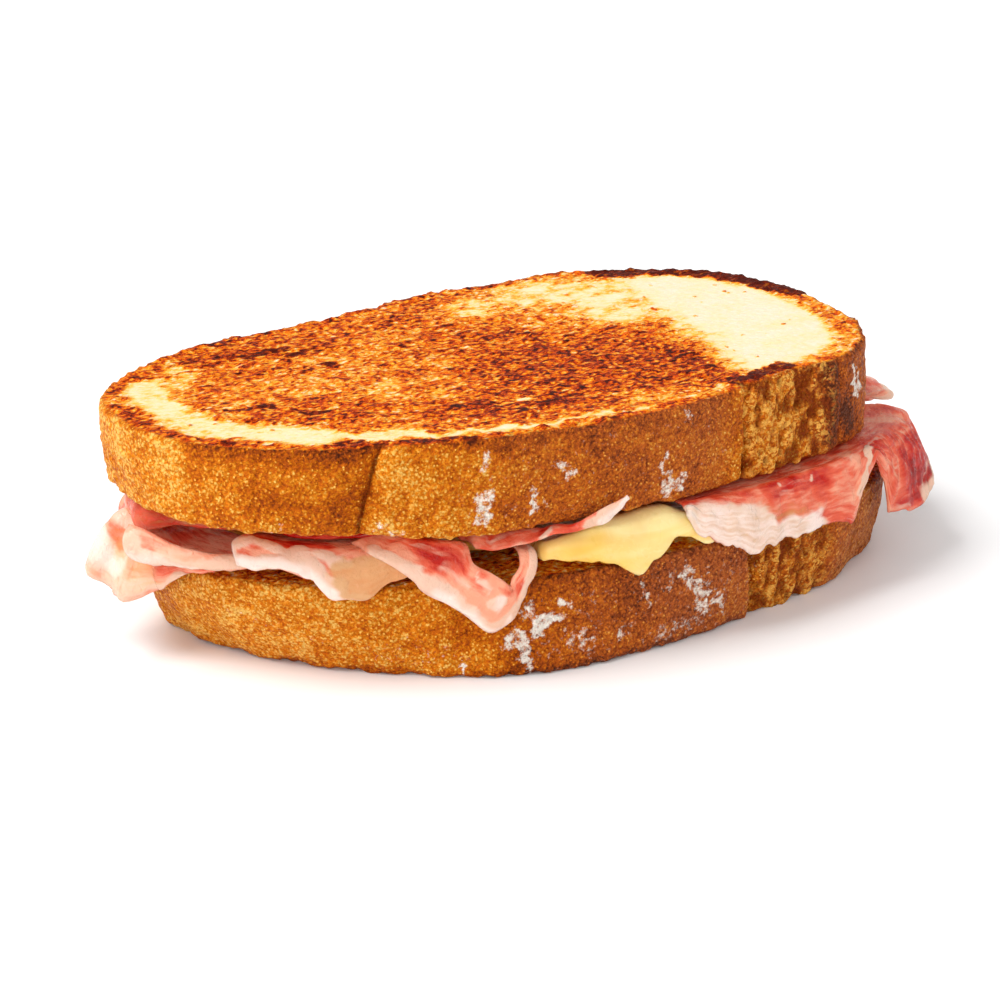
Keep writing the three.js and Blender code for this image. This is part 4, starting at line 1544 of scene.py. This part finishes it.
@dataclass(frozen=True)
class HangingForm:
    """A sheet that hangs out of the gap. A row is a bearing, reach, height at the lip and at the edge."""

    stations: tuple[Row, ...]
    inside: float
    tail: float
    ruffle: float = 0.0
    pitch: float = 7.0
    ragged: float = 0.7

    def unit(self, length: float) -> float:
        """Millimetres in a degree, in which places along the sheet are counted."""
        return MM_PER_DEGREE

    def free(self, share: Array) -> Array:
        """How free the sheet is to fold, from 0 between the slices to 1 where it hangs."""
        return smooth((share - 0.25) / 0.3)

    def grid(self, cell: float) -> tuple[Array, Array, Array]:
        """Lay out the sheet.

        Args:
            cell: The size of its cells in millimetres.

        Returns:
            Its points, and the bearing and the share from tail to edge at each.
        """
        first, last = self.stations[0][0], self.stations[-1][0]
        steps = max(12, int((last - first) * MM_PER_DEGREE / cell))
        columns = max(12, int((self.inside + 14.0) / cell))
        bearing = np.linspace(first, last, steps + 1)
        rows = np.stack([eased(self.stations, bearing, column) for column in (1, 2, 3)])
        line = np.stack([bearing * MM_PER_DEGREE, bearing * 0, bearing * 0], -1)
        hangs = smooth((rows[1] - rows[2] - 1.0) / 3.0)
        rows[2] += hangs * self.ragged * noise(line, 2.8, int(first), 3)
        rows[0] += hangs * 0.6 * self.ragged * noise(line, 5.0, int(first) + 1)
        outs, heights = hanging_section(rows, self.inside, self.tail, columns)
        places, share = np.meshgrid(bearing, np.linspace(0, 1, columns + 1), indexing="ij")
        wave = np.sin(places / self.pitch * 2 * math.pi) * smooth((share - 0.3) / 0.7)
        return over_crust(places, outs + self.ruffle * wave, heights), places, share


@dataclass(frozen=True)
class StripForm:
    """A strip between two edges. A row is each edge's bearing, height and distance out, low edge first."""

    stations: tuple[Row, ...]
    bow: float

    def unit(self, length: float) -> float:
        """Millimetres from one station to the next, in which places along the strip are counted."""
        return length / (len(self.stations) - 1)

    def free(self, share: Array) -> Array:
        """How free the strip is to fold, which is fully."""
        return np.ones_like(share)

    def grid(self, cell: float) -> tuple[Array, Array, Array]:
        """Lay out the strip.

        Args:
            cell: The size of its cells in millimetres.

        Returns:
            Its points, and the place along its stations and the share from low to high at each.
        """
        table = np.array(self.stations, float)
        rough = over_crust(table[:, 0], table[:, 2], table[:, 1])
        length = np.linalg.norm(np.diff(rough, axis=0), axis=1).sum()
        steps = max(16, int(length / cell))
        columns = max(8, int(7.0 / cell))
        place = np.linspace(0, len(table) - 1, steps + 1)
        line = through(table, place)
        places, share = np.meshgrid(place, np.linspace(0, 1, columns + 1), indexing="ij")
        bearing, z, out = (mix(line[:, k : k + 1], line[:, k + 3 : k + 4], share) for k in range(3))
        return over_crust(bearing, out + self.bow * 4 * share * (1 - share), z), places, share


@dataclass(frozen=True)
class HamMarks:
    """Where a piece of ham is fat, deep red, tan and palest, by place along it and share across."""

    fat: Strokes = ()
    deep: Strokes = ()
    tan: Strokes = ()
    pale: Strokes = ()
    pleats: Strokes = ()
    all_over: tuple[float, float] = (0.0, 0.3)


@dataclass
class HamPiece(Piece):
    """A slice or strip of ham."""

    name: str
    form: HangingForm | StripForm
    marks: HamMarks
    seed: int
    cell: float = 0.55
    thickness: float = 1.0
    wrinkle: float = 0.3
    wrinkle_size: Row = (2.6, 7.0, 3.0)
    plump: float = 0.7
    kind = "folded"
    slot = "ham"

    def draft(self) -> Draft:
        """Build the piece with its folds, wrinkles and masks.

        Returns:
            The mesh.
        """
        grid, place, share = self.form.grid(self.cell)
        along, across = spaced(grid)
        flat = np.stack([along, across, np.zeros_like(along)], -1)
        warp = noise(flat, 4.0, self.seed, 2)
        normal = facing(np.gradient(grid, axis=0), np.gradient(grid, axis=1))
        free = self.form.free(share)
        waves = self.wrinkle * noise(flat, self.wrinkle_size, self.seed + 1, 2)
        waves += 0.3 * self.wrinkle * noise(flat, (1.7, 5.0, 3.0), self.seed + 4)
        waves += 0.1 * noise(flat, 1.8, self.seed + 2)
        scale = (self.form.unit(along[-1, 0]), across[0, -1])
        u = place * scale[0] + 1.1 * warp + 0.7 * noise(flat, 1.5, self.seed + 5)
        v = share * scale[1] + 0.9 * noise(flat, 2.6, self.seed + 3, 3)
        marks = self.marks
        kinds = (marks.fat, marks.deep, marks.tan, marks.pale, marks.pleats)
        fat, deep, tan, pale, pleats = (marked(strokes, u, v, scale) for strokes in kinds)
        pleated = pleats * np.sin(3.2 * u + 0.5 * v + 1.4 * noise(flat, 5.0, self.seed + 6))
        grid = grid + normal * ((waves + 0.24 * pleated) * free)[..., None]
        fat = np.maximum(fat, marks.all_over[0] + 0.34 * np.maximum(pleated, 0.0))
        far, wide = spaced(grid)
        edge = np.minimum(np.minimum(wide, wide[:, -1:] - wide), np.minimum(far, far[-1:] - far))
        thickness = self.thickness * (1 + self.plump * fat * free) * rounded(edge, 1.0, 0.35)
        masks = {
            Mask.FAT: fat,
            # Deeper red where the pleats sink and lighter where they swell: painted shade and light of the
            # folds.
            Mask.DEEP: np.maximum(deep, marks.all_over[1]) + 0.18 * warp - 0.12 * pleated,
            Mask.TAN: tan,
            Mask.PALE: pale,
            Mask.ALONG: along,
            Mask.ACROSS: across,
        }
        return sheet_draft(grid, thickness, masks)


@dataclass
class LayerPiece(Piece):
    """A layer that runs through the sandwich, with stations all the way round."""

    name: str
    slot: str
    stations: tuple[Row, ...]
    thickness: float
    inside: float
    tail: float
    seed: int
    pale: tuple[Row, ...]
    steps: int = 420
    columns: int = 44
    core_rings: Row = (0.04, 0.25, 0.5, 0.75)
    ripple: float = 0.25
    deep: float = 0.0
    crest: tuple[Row, ...] = ((0, 0.0), (360, 0.0))
    kind = "layered"

    def draft(self) -> Draft:
        """Build the layer as one sheet over its own middle, with a thin free edge.

        Returns:
            The mesh.
        """
        bearing = np.arange(self.steps) * 360.0 / self.steps
        rows = np.stack([eased(self.stations, bearing, column) for column in (1, 2, 3)])
        rows[2] += 0.5 * noise(np.stack([bearing * 1.2, 0 * bearing, 0 * bearing], -1), 3.0, self.seed, 2)
        outs, heights = hanging_section(rows, self.inside, self.tail, self.columns)
        crest = eased(self.crest, bearing, 1)[:, None]
        heights = relaxed(heights + crest * smooth((outs + 11.0) / 9.0) * smooth((2.4 - outs) / 5.0), 6)
        radius = LOWER.reach(bearing, 1.0)[:, None]
        core = np.array(self.core_rings)[None, :] * (radius - self.inside) - radius
        outs = np.concatenate([core, outs], axis=1)
        heights = np.concatenate([np.full(core.shape, self.tail), heights], axis=1)
        grid = over_crust(bearing[:, None] + np.zeros_like(outs), outs, heights)
        outer = np.linspace(0, 1, outs.shape[1])[None, :]
        grid[..., 2] += self.ripple * noise(grid, 7.0, self.seed + 1, 2) * smooth(outer * 2)
        edge = np.linalg.norm(grid - grid[:, -1:], axis=2)
        thickness = self.thickness * rounded(edge, self.thickness * 0.8, 0.3)
        streaks = 0.2 * noise(grid, 5.0, self.seed + 2, 2)
        streaks += 0.45 * noise(grid, (11.0, 11.0, 1.3), self.seed + 5, 2)
        pale = eased(self.pale, bearing, 1)[:, None] + streaks
        masks = {
            # Paler higher up: a painted highlight on the upper part of the layer.
            Mask.PALE: pale + 0.35 * smooth((grid[..., 2] - 25.0) / 3.0),
            Mask.FAT: 0.1 + 0.2 * noise(grid, 6.0, self.seed + 3, 2),
            Mask.DEEP: np.full(outs.shape, self.deep),
            Mask.TAN: np.zeros(outs.shape),
            Mask.ALONG: bearing[:, None] * MM_PER_DEGREE + np.zeros_like(outs),
            Mask.ACROSS: outs,
        }
        return sheet_draft(grid, thickness, masks, closed=True)


CHEESE = LayerPiece(
    name="cheese_slice",
    slot="cheese",
    thickness=2.0,
    inside=22.0,
    tail=22.6,
    seed=700,
    ripple=0.45,
    pale=((0, 0.5), (225, 0.1), (245, 0.0), (251, 0.5), (257, 0.85), (270, 0.85), (290, 1.0), (360, 0.5)),
    crest=((0, 0.0), (238, 0.0), (246, 3.2), (264, 3.4), (271, 0.9), (280, 0.0), (360, 0.0)),
    stations=(
        (0, -6, 23.2, 22.8), (60, -5, 23.2, 22.8), (79, -3, 23.8, 23.4), (84, 2.4, 26.2, 22),
        (92, 2.6, 26.4, 20), (100, 2.4, 26, 22.4), (106, -3, 23.8, 23.4), (122, -5, 23.2, 22.8),
        (150, -13, 23.2, 22.8), (228, -13, 23.2, 22.8), (232, -7, 24, 23.4), (236, 1.4, 26.4, 23.6),
        (240, 2.3, 27.2, 23.3), (246, 2.4, 27.4, 23), (251, 2.4, 27.4, 21.2), (257, 2.6, 27.4, 18),
        (260, 2.4, 27.4, 20.6), (267, 2.3, 27.5, 24.2), (275, 2.2, 27, 21.9), (284, 1.6, 25.6, 20.6),
        (296, -0.5, 24, 22.6), (306, -5, 23.2, 22.8), (360, -6, 23.2, 22.8),
    ),
)
HAM_MIDDLE = LayerPiece(
    name="ham_middle",
    slot="ham",
    thickness=3.2,
    inside=26.0,
    tail=28.6,
    seed=800,
    pale=((0, 0.0), (360, 0.0)),
    ripple=0.45,
    steps=240,
    columns=24,
    deep=0.55,
    stations=(
        (0, -14, 28.7, 28.5), (60, -14, 28.7, 28.5), (85, -17, 28.7, 28.5), (110, -14, 28.7, 28.5),
        (180, -14, 29, 28.7), (212, -14, 28.7, 28.5), (235, -17, 28.7, 28.5), (290, -17, 28.7, 28.5),
        (360, -14, 28.7, 28.5),
    ),
)

HAM_RIGHT = HamPiece(
    name="ham_right",
    seed=410,
    cell=0.45,
    wrinkle=0.42,
    wrinkle_size=(7.0, 2.4, 3.0),
    form=HangingForm(
        inside=11,
        tail=29.8,
        stations=(
            (268.5, 3, 30.3, 29.5), (273, 4, 30.2, 23.6), (281, 4.2, 30, 20.4), (287, 4, 29.8, 17.2),
            (290.4, 3.8, 29.6, 18.2), (303, 3.5, 29.2, 18.2), (309, 3.5, 29.2, 17.8),
            (314.4, 3.6, 29.5, 17.2), (317, 3.5, 29.9, 21.6), (319.5, 3.3, 30, 24.8),
            (322.4, 3, 30.2, 28.6), (324.5, 3.8, 30.2, 23), (327, 5.4, 30.2, 14), (330.5, 8.6, 30, 12.2),
            (334, 11, 29.8, 13.4), (337, 11.8, 29.4, 15.4), (340, 9.8, 29.2, 19.6), (343.5, 6.2, 29.2, 25),
            (347, 1, 29.4, 28.4),
        ),
    ),
    marks=HamMarks(
        fat=(
            Stroke(((266, 0.74), (276, 0.76), (284, 0.8), (289, 0.88)), 2.4, 6.0),
            # The thin fat rim along the free edge is partly the edge's own pale fat and partly a painted
            # sheen.
            Stroke(((289, 0.9), (298, 0.95), (306, 0.99)), 0.8, 5.0, 0.95),
            Stroke(((315, 0.8), (320, 0.7), (322, 0.55)), 0.6, 1.4),
            Stroke(((334, 0.98), (339, 0.95)), 0.6, 2.0, 0.9),
            # Two small spots of painted sheen at the lip.
            Stroke(((296, 0.5),), 0.4, 1.0, 0.7),
            Stroke(((306, 0.52),), 0.4, 1.0, 0.7),
        ),
        deep=(
            Stroke(((331, 0.84), (336, 0.84)), 3.0, 5.0, 0.62),
            # Deeper red at the lip, just under the upper slice: painted shade.
            Stroke(((292, 0.5), (308, 0.55)), 0.8, 4.0, 0.5),
        ),
        # Palest towards the free edge: partly thin pale fat and partly a painted sheen.
        pale=(Stroke(((268, 0.76), (286, 0.82), (304, 0.98)), 2.6, 4.0, 1.0),),
        tan=(
            Stroke(((272, 0.74), (288, 0.8), (300, 0.9)), 1.8, 6.0, 0.46),
            Stroke(((266, 0.74), (274, 0.76)), 2.0, 5.0, 0.36),
        ),
        pleats=(Stroke(((326, 0.6), (331, 0.72), (337, 0.75)), 4.0, 3.0),),
        all_over=(0.03, 0.26),
    ),
)
HAM_RIGHT_END = HamPiece(
    name="ham_right_end",
    seed=430,
    form=HangingForm(
        inside=10,
        tail=31,
        ruffle=0.4,
        stations=(
            (347, -1.5, 31, 30.6), (350, 5, 30.8, 29.2), (356, 6, 31, 28.6), (364, 3, 30.6, 28.2),
            (371, -1.5, 30.4, 29.8),
        ),
    ),
    marks=HamMarks(fat=(Stroke(((350, 0.8), (362, 0.9)), 1.5, 3.0, 0.8),), all_over=(0.3, 0.25)),
)
HAM_LEFT_FOLD = HamPiece(
    name="ham_left_fold",
    seed=440,
    wrinkle=1.3,
    wrinkle_size=(4.2, 8.0, 3.0),
    form=HangingForm(
        inside=10,
        tail=25.2,
        ruffle=1.1,
        pitch=5.0,
        stations=(
            (161, 1.6, 25.8, 23), (166, 5.4, 26.4, 20.4), (171, 9.6, 26.6, 18), (175.5, 11.8, 27, 15.4),
            (178.5, 11.2, 26.8, 13.4), (181.5, 9.6, 25.4, 13.6), (184.5, 6.8, 23.8, 16.6),
            (187.5, 3.2, 23, 20.8), (190.5, 1.6, 22.8, 21.6),
        ),
    ),
    marks=HamMarks(
        fat=(
            Stroke(((166, 0.97), (176, 0.97), (182, 0.97)), 0.3, 1.8, 0.8),
            Stroke(((173, 0.55), (177, 0.6)), 0.6, 2.4, 0.7),
            Stroke(((175.4, 0.8), (178.4, 0.84)), 0.9, 2.0, 1.0),
            Stroke(((183, 0.9), (187, 0.95)), 0.6, 2.0, 0.9),
            Stroke(((179, 0.84), (181, 0.9)), 0.3, 1.6, 0.7),
        ),
        pale=(Stroke(((175.4, 0.8), (178.4, 0.84)), 0.8, 2.0, 0.6),),
        tan=(Stroke(((178, 0.72), (184, 0.82)), 0.6, 3.6, 0.5),),
        all_over=(0.04, 0.14),
    ),
)
HAM_LEFT_STRIP = HamPiece(
    name="ham_left_strip",
    seed=450,
    wrinkle=0.3,
    form=StripForm(
        bow=1.5,
        stations=(
            (183.4, 24, 9.6, 183, 30.2, 9), (185.6, 23, 8, 184.6, 30, 8.4),
            (187.2, 23.2, 6, 186.6, 28, 6.4), (188.6, 23, 4.8, 188.2, 27, 5),
            (190.4, 23, 3.8, 189.9, 26.6, 4), (192.2, 23.5, 3, 191.2, 26.4, 3.2),
            (194, 23.6, 0.8, 193.4, 26, 0.8), (196, 23.6, -4.5, 195.4, 26, -4.5),
        ),
    ),
    marks=HamMarks(
        fat=(
            Stroke(((0, 0.22), (2, 0.25), (6, 0.5)), 0.7, 2.0, 0.95),
            Stroke(((0, 0.6), (1, 0.75)), 0.5, 1.4, 0.8),
        ),
        pale=(Stroke(((0, 0.18), (4, 0.3)), 0.2, 1.2, 0.5),),
        all_over=(0.4, 0.02),
    ),
)
HAM_UPPER_LEFT = HamPiece(
    name="ham_upper_left",
    seed=460,
    wrinkle=0.2,
    plump=0.2,
    form=HangingForm(
        inside=9,
        tail=31.6,
        ruffle=0.5,
        pitch=9,
        stations=(
            (171, 0, 33, 31.6), (176.5, 3.6, 32.6, 27.4), (181, 4.8, 32.4, 28), (186, 2.6, 32.4, 30.2),
            (193, -1.6, 32, 30.6), (203, -1.6, 31, 29.8), (210, -3, 30.8, 30),
        ),
    ),
    marks=HamMarks(
        fat=(Stroke(((174, 0.7), (179, 0.95)), 0.6, 2.6, 0.5),),
        deep=(Stroke(((186, 0.8), (207, 0.8)), 6.0, 5.0, 0.6),),
        tan=(Stroke(((171, 0.8), (186, 0.8)), 4.0, 3.0, 0.34),),
        all_over=(0.16, 0.24),
    ),
)
HAM_FRONT_LEFT = HamPiece(
    name="ham_front_left",
    seed=470,
    wrinkle=0.4,
    form=HangingForm(
        inside=9,
        tail=28,
        stations=(
            (193, 2.2, 29.6, 27.8), (194.4, 3, 29.6, 24.9), (196.2, 3.2, 29, 23.9), (199, 3, 28.8, 24.9),
            (202, 3, 28.6, 22.8), (205, 3, 28, 19), (208.6, 3, 27.4, 19.2), (212, 2.6, 27, 22),
            (215, 2, 26.6, 23.4),
        ),
    ),
    marks=HamMarks(
        fat=(
            Stroke(((193, 0.8), (195, 0.9), (199, 0.8), (202, 0.78), (205, 0.9)), 1.5, 1.8),
            Stroke(((193.4, 0.6), (195.4, 0.5), (198, 0.56), (201, 0.66)), 0.7, 1.2, 0.9),
            Stroke(((204, 0.97), (209, 0.97)), 0.5, 1.4),
            Stroke(((201, 0.56), (206, 0.62)), 0.5, 1.6, 0.8),
        ),
        pale=(Stroke(((194, 0.86), (199, 0.84), (205, 0.95)), 0.6, 2.0, 0.9),),
        tan=(Stroke(((208, 0.76), (215, 0.78)), 3.0, 2.2),),
        deep=(Stroke(((196, 0.45), (203, 0.42)), 0.6, 2.2, 0.55),),
        all_over=(0.24, 0.1),
    ),
)
HAM_FRONT_LOOP = HamPiece(
    name="ham_front_loop",
    seed=480,
    wrinkle=0.22,
    form=StripForm(
        bow=0.5,
        stations=(
            (205, 28.6, -2.5, 208, 30.6, -5), (210.1, 27.4, 2.6, 211.9, 30.3, -1.5),
            (214.9, 23, 3.4, 218, 29.8, 0), (216.5, 20.4, 3.4, 222, 29, 1),
            (219.9, 17.3, 3.2, 223.8, 25.6, 3), (222.8, 14.6, 3, 226.7, 23.9, 4.2),
            (226.2, 11, 2.8, 229.3, 21.6, 4.6), (229.4, 12.6, 3, 230, 20.4, 4.6),
            (231.3, 15.9, 3.2, 229.9, 20.9, 4.4), (232.6, 19.6, 3.4, 230.3, 22.4, 4),
            (233.9, 22.9, 3.2, 231.3, 24.3, 3.2), (234, 25.4, 1.4, 230.6, 26.4, 1),
            (231.6, 26.2, -3, 228.6, 26.6, -4),
        ),
    ),
    marks=HamMarks(
        fat=(
            Stroke(((1, 0.1), (4, 0.1), (6.2, 0.1)), 1.0, 1.5),
            Stroke(((6, 0.12), (7.6, 0.12)), 1.2, 1.4),
            Stroke(((7.6, 0.2), (11, 0.2)), 1.3, 1.0, 0.85),
            Stroke(((5.5, 0.6), (6.4, 0.62)), 0.2, 1.1, 0.9),
            Stroke(((4.6, 0.82), (5.2, 0.8)), 0.1, 0.9, 0.7),
            Stroke(((3, 0.55), (4.4, 0.5)), 0.1, 1.2, 0.5),
        ),
        pale=(Stroke(((3.5, 0.04), (7, 0.04)), 0.5, 1.4), Stroke(((6, 0.62),), 0.5, 1.2, 0.7)),
        deep=(Stroke(((1.4, 0.8), (3.4, 0.75)), 0.8, 2.2, 0.4),),
        all_over=(0.14, -0.02),
    ),
)
HAM_FRONT_SLIVER = HamPiece(
    name="ham_front_sliver",
    seed=490,
    thickness=0.8,
    wrinkle=0.5,
    plump=0.1,
    form=StripForm(
        bow=0.4,
        stations=(
            (219.5, 28, -5, 217.5, 29.6, -7), (224.8, 27.6, 1, 223.7, 30, -2.2),
            (229.8, 27.8, 2, 229.2, 30, -1.6), (236, 29.3, 2.2, 235.8, 30.5, -0.6),
            (241.5, 30.2, 2.8, 241.6, 31.2, 2.2), (245, 30.6, 3.2, 244.8, 33, 3.2),
            (248.6, 31.6, 3.5, 248.2, 34.5, 3.5), (251, 33.2, 3.6, 250.6, 35.2, 3.6),
            (253.3, 35.6, 3.8, 252.8, 36.2, 3.8),
        ),
    ),
    marks=HamMarks(
        fat=(
            Stroke(((4.8, 0.3), (6, 0.45), (8, 0.5)), 1.3, 1.2, 0.95),
            Stroke(((3.1, 0.2),), 0.4, 0.8, 0.9),
            Stroke(((0.8, 0.8), (2.6, 0.75)), 0.2, 1.2, 0.5),
        ),
        pale=(Stroke(((5.4, 0.3), (8, 0.5)), 0.5, 1.2, 0.8),),
        deep=(Stroke(((0, 0.9), (4, 0.9)), 0.6, 1.4, 0.4),),
        all_over=(0.2, 0.2),
    ),
)
HAM_BACK_LEFT = HamPiece(
    name="ham_back_left",
    seed=500,
    cell=0.8,
    wrinkle=0.5,
    form=HangingForm(
        inside=9,
        tail=28,
        ruffle=0.7,
        pitch=8,
        stations=(
            (116, -1, 29.6, 28.4), (123, 3.4, 29.4, 22.4), (131, 4, 29.2, 19.8), (139, 3.6, 29.8, 24.4),
            (147, 4.4, 30.4, 22.4), (155, -1, 31, 29.8),
        ),
    ),
    marks=HamMarks(fat=(Stroke(((122, 0.97), (150, 0.97)), 1.2, 1.8),), all_over=(0.1, 0.3)),
)
HAM_BACK_RIGHT = HamPiece(
    name="ham_back_right",
    seed=510,
    cell=0.8,
    wrinkle=0.5,
    form=HangingForm(
        inside=9,
        tail=28,
        ruffle=0.7,
        pitch=9,
        stations=(
            (30, -1, 29.6, 28.4), (40, 3.6, 29.2, 23.2), (52, 4.2, 28.8, 19.8), (64, 3.4, 29.4, 24.4),
            (75, -1, 29.6, 28.4),
        ),
    ),
    marks=HamMarks(fat=(Stroke(((38, 0.97), (70, 0.97)), 1.4, 1.8),), all_over=(0.1, 0.25)),
)
HAM_PIECES = (
    HAM_RIGHT,
    HAM_RIGHT_END,
    HAM_LEFT_FOLD,
    HAM_LEFT_STRIP,
    HAM_UPPER_LEFT,
    HAM_FRONT_LEFT,
    HAM_FRONT_LOOP,
    HAM_FRONT_SLIVER,
    HAM_BACK_LEFT,
    HAM_BACK_RIGHT,
)


# The studio


@dataclass
class Studio:
    """A white floor, soft lights all round and the camera. A light is its name, place, size and watts."""

    azimuth: float = -28.0
    elevation: float = 22.0
    distance: float = 0.6
    lens: float = 103.68
    sensor: float = 36.0
    near_clip: float = 0.01
    target: Row = (0.45, -2.71, 20.59)
    floor_size: float = 6.0
    sky: float = 0.6
    lights: tuple[tuple[str, Row, float, float], ...] = (
        ("key", (-1.8, 0.3, 2.7), 1.6, 95.0),
        ("fill", (-2.4, -2.4, 1.5), 1.6, 36.0),
        ("side", (2.7, -1.5, 1.6), 1.5, 16.0),
    )

    def build_floor(self) -> None:
        """Lay the floor."""
        half = self.floor_size / 2
        mesh = bpy.data.meshes.new("floor")
        corners = [(-half, -half, 0), (half, -half, 0), (half, half, 0), (-half, half, 0)]
        mesh.from_pydata(corners, [], [(0, 1, 2, 3)])
        mesh.materials.append(WhiteFloor().material())
        floor = bpy.data.objects.new("floor", mesh)
        bpy.context.scene.collection.objects.link(floor)

    def add_area(self, name: str, place: Row, size: float, power: float) -> None:
        """Hang a soft light that points at the sandwich.

        Args:
            name: The light's name.
            place: Where it hangs, in metres.
            size: The side of its square, in metres.
            power: Its power in watts.
        """
        data = bpy.data.lights.new(name, "AREA")
        data.size = size
        data.energy = power
        light = bpy.data.objects.new(name, data)
        light.location = place
        light.rotation_euler = (-Vector(place)).to_track_quat("-Z", "Y").to_euler()
        bpy.context.scene.collection.objects.link(light)

    def build_lights(self) -> None:
        """Hang the lights and set the sky."""
        world = bpy.data.worlds.new("studio_sky")
        bpy.context.scene.world = world
        world.use_nodes = True
        background = world.node_tree.nodes["Background"]
        background.inputs["Color"].default_value = (1.0, 1.0, 1.0, 1.0)
        background.inputs["Strength"].default_value = self.sky
        for name, place, size, power in self.lights:
            self.add_area(name, place, size, power)

    def build_camera(self) -> None:
        """Set up the camera."""
        scene = bpy.context.scene
        a = math.radians(self.azimuth)
        e = math.radians(self.elevation)
        back = Vector((math.sin(a) * math.cos(e), -math.cos(a) * math.cos(e), math.sin(e)))
        data = bpy.data.cameras.new("camera")
        data.lens = self.lens
        data.sensor_width = self.sensor
        data.clip_start = self.near_clip
        camera = bpy.data.objects.new("camera", data)
        target = Vector((np.array(self.target) + ORIGIN) * MM)
        camera.location = target + back * self.distance
        camera.rotation_euler = (-back).to_track_quat("-Z", "Y").to_euler()
        scene.collection.objects.link(camera)
        scene.camera = camera
        scene.view_settings.view_transform = "Standard"

    def build(self) -> None:
        """Build the whole studio."""
        self.build_floor()
        self.build_lights()
        self.build_camera()


def report(piece: bpy.types.Object) -> None:
    """Say what a piece came to."""
    triangles = sum(len(face.vertices) - 2 for face in piece.data.polygons)
    LOG.info("%s: %d triangles", piece.name, triangles)


def main() -> None:
    """Build the sandwich and the studio."""
    logging.basicConfig(level=logging.INFO, format="%(message)s")
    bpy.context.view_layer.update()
    groups = Groups(build_grain_group(), build_dust_group(), build_marbling_group())
    bread = ToastedBread().material(groups)
    ham = CuredHam().material(groups)
    cheese = MeltedCheese().material(groups)
    lower = BreadSlice("bread_lower", LOWER, LOWER_WALL, None, front_cells=220, side_cells=110)
    upper = BreadSlice("bread_upper", UPPER, UPPER_WALL, FaceMarks(), front_cells=300, side_cells=150)
    for finish, pieces in ((bread, (lower, upper)), (ham, (*HAM_PIECES, HAM_MIDDLE)), (cheese, (CHEESE,))):
        for piece in pieces:
            report(piece.build(finish))
    Studio().build()


if __name__ == "__main__":
    main()
